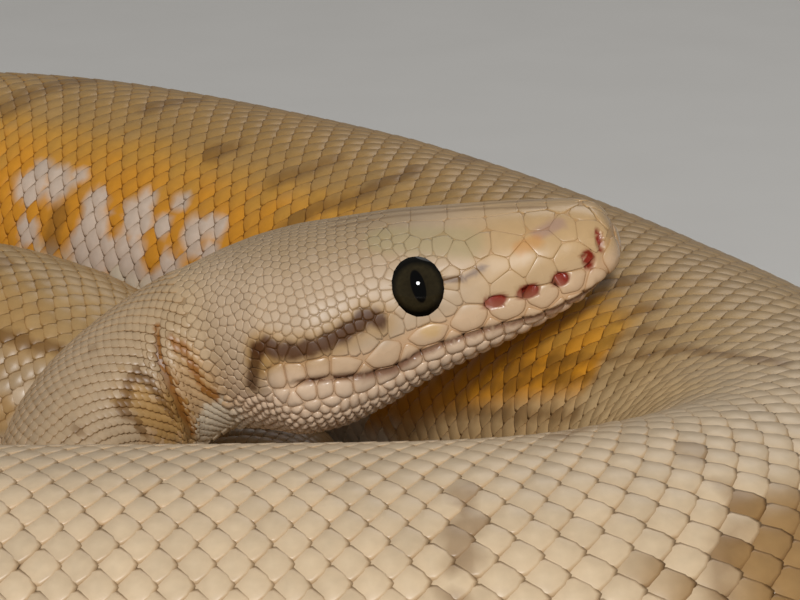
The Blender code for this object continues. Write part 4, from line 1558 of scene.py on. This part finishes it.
def make_eye_finish():
    """A dark olive iris round an upright slit pupil, under a wet clear cap."""
    material, nodes, link, shader = new_material("wet_eye")
    parts = nodes.new("ShaderNodeSeparateXYZ")
    link(stored(nodes, "gaze", "Vector"), parts.inputs["Vector"])
    across = maths(nodes, link, "MULTIPLY", parts.outputs["X"], parts.outputs["X"])
    upright = maths(nodes, link, "MULTIPLY", parts.outputs["Y"], parts.outputs["Y"])
    radial = maths(nodes, link, "SQRT", maths(nodes, link, "ADD", across, upright))
    squeezed = maths(nodes, link, "MULTIPLY", upright, PUPIL_NARROWNESS)
    slit = maths(nodes, link, "SQRT", maths(nodes, link, "ADD", across, squeezed))
    pupil = nodes.new("ShaderNodeMapRange")
    pupil.inputs["From Min"].default_value, pupil.inputs["From Max"].default_value = PUPIL_EDGE
    link(slit, pupil.inputs["Value"])
    ring = nodes.new("ShaderNodeValToRGB")
    steps = ring.color_ramp.elements
    steps[0].position, steps[0].color = IRIS_MIDDLE
    steps[1].position, steps[1].color = IRIS_RIM
    place, colour = IRIS_BRIGHTEST
    steps.new(place).color = colour
    link(radial, ring.inputs["Fac"])
    iris = mix_colours(nodes, link, "MULTIPLY", 0.6, ring.outputs["Color"], noise(nodes, link, 2600.0, 5.0))
    link(mix_colours(nodes, link, "MIX", pupil.outputs["Result"], iris, PUPIL), shader.inputs["Base Color"])
    shader.inputs["Roughness"].default_value = 0.60
    shader.inputs["Specular IOR Level"].default_value = 0.0
    shader.inputs["Coat Weight"].default_value = 1.0
    shader.inputs["Coat Roughness"].default_value = 0.01
    shader.inputs["Coat IOR"].default_value = 1.27
    return material


# ------------------------------------------------------------------------------------- stage

def make_floor():
    """A plain pale floor, wide enough to fill the view."""
    material, nodes, link, shader = new_material("pale_floor")
    ramp = nodes.new("ShaderNodeValToRGB")
    ramp.color_ramp.elements[0].color = (0.60, 0.585, 0.56, 1.0)
    ramp.color_ramp.elements[1].color = (0.64, 0.625, 0.60, 1.0)
    link(noise(nodes, link, 40.0, 2.0), ramp.inputs["Fac"])
    link(ramp.outputs["Color"], shader.inputs["Base Color"])
    shader.inputs["Roughness"].default_value = 0.8
    size = 4.0
    corners = np.array([(-size, -size, 0.0), (size, -size, 0.0), (size, size, 0.0), (-size, size, 0.0)])
    mesh = mesh_from("floor", corners, [(0, 1, 2, 3)])
    mesh.materials.append(material)
    add_object("floor", mesh)


def make_light(name, power, size, place, aim, mirrored=True):
    light = bpy.data.lights.new(name, "AREA")
    light.energy = power
    light.size = size
    light.shape = "DISK"
    lamp = bpy.data.objects.new(name, light)
    lamp.visible_glossy = mirrored
    lamp.location = place
    lamp.rotation_euler = (Vector(aim) - Vector(place)).to_track_quat("-Z", "Y").to_euler()
    bpy.context.scene.collection.objects.link(lamp)


def make_lights(aim):
    """Soft studio light: a key high in front, a broad fill, a rim from behind, and a neutral room."""
    make_light("key", 3.45, 0.13, (aim[0] + 0.04, aim[1] - 0.56, aim[2] + 0.46), aim)
    make_light("fill", 3.25, 0.6, (aim[0] - 0.14, aim[1] - 0.80, aim[2] + 0.30), aim, mirrored=False)
    make_light("rim", 1.6, 0.6, (aim[0] + 0.25, aim[1] + 0.75, aim[2] + 0.75), aim)
    world = bpy.data.worlds.new("studio")
    bpy.context.scene.world = world
    world.use_nodes = True
    world.node_tree.nodes["Background"].inputs["Color"].default_value = (1.0, 0.98, 0.94, 1.0)
    world.node_tree.nodes["Background"].inputs["Strength"].default_value = 0.21
    bpy.context.scene.view_settings.view_transform = "Standard"


def make_camera():
    """Looks along +Y and a little down, at the near side of the head."""
    ahead = np.array([0.0, math.cos(VIEW_FALL), -math.sin(VIEW_FALL)])
    above = np.array([0.0, math.sin(VIEW_FALL), math.cos(VIEW_FALL)])
    right = np.array([1.0, 0.0, 0.0])
    spot = SNOUT + SHIFT + VIEW_AIM - ahead * VIEW_DISTANCE
    data = bpy.data.cameras.new("camera")
    data.lens = VIEW_LENS
    data.sensor_width = 36.0
    data.clip_start = 0.01
    data.clip_end = 20.0
    camera = bpy.data.objects.new("camera", data)
    camera.matrix_world = Matrix.Translation(Vector(spot)) @ Matrix(
        np.column_stack([right, above, -ahead]).tolist()).to_4x4()
    bpy.context.scene.collection.objects.link(camera)
    bpy.context.scene.camera = camera


def main():
    """Makes every piece, the floor, the lights and the camera."""
    group = scale_finish_group()
    skin_finish = make_scaly("skin_between_scales", group, 0.0, 0.30, 0.5, 1.0)
    scale_material = make_scaly("satin_scales", group, 0.10, 0.25, 0.3, 1.0)
    plate_material = make_scaly("head_plate_gloss", group, 0.05, 0.14, 0.2, 1.15)
    tree = make_skin(skin_finish)
    make_body_coat(scale_material)
    make_belly(scale_material)
    make_head_coat(tree, plate_material)
    eye_finish = make_eye_finish()
    make_eye("left_eye", 1.0, tree, eye_finish)
    make_eye("right_eye", -1.0, tree, eye_finish)
    make_floor()
    make_lights(near_eye)
    make_camera()


main()
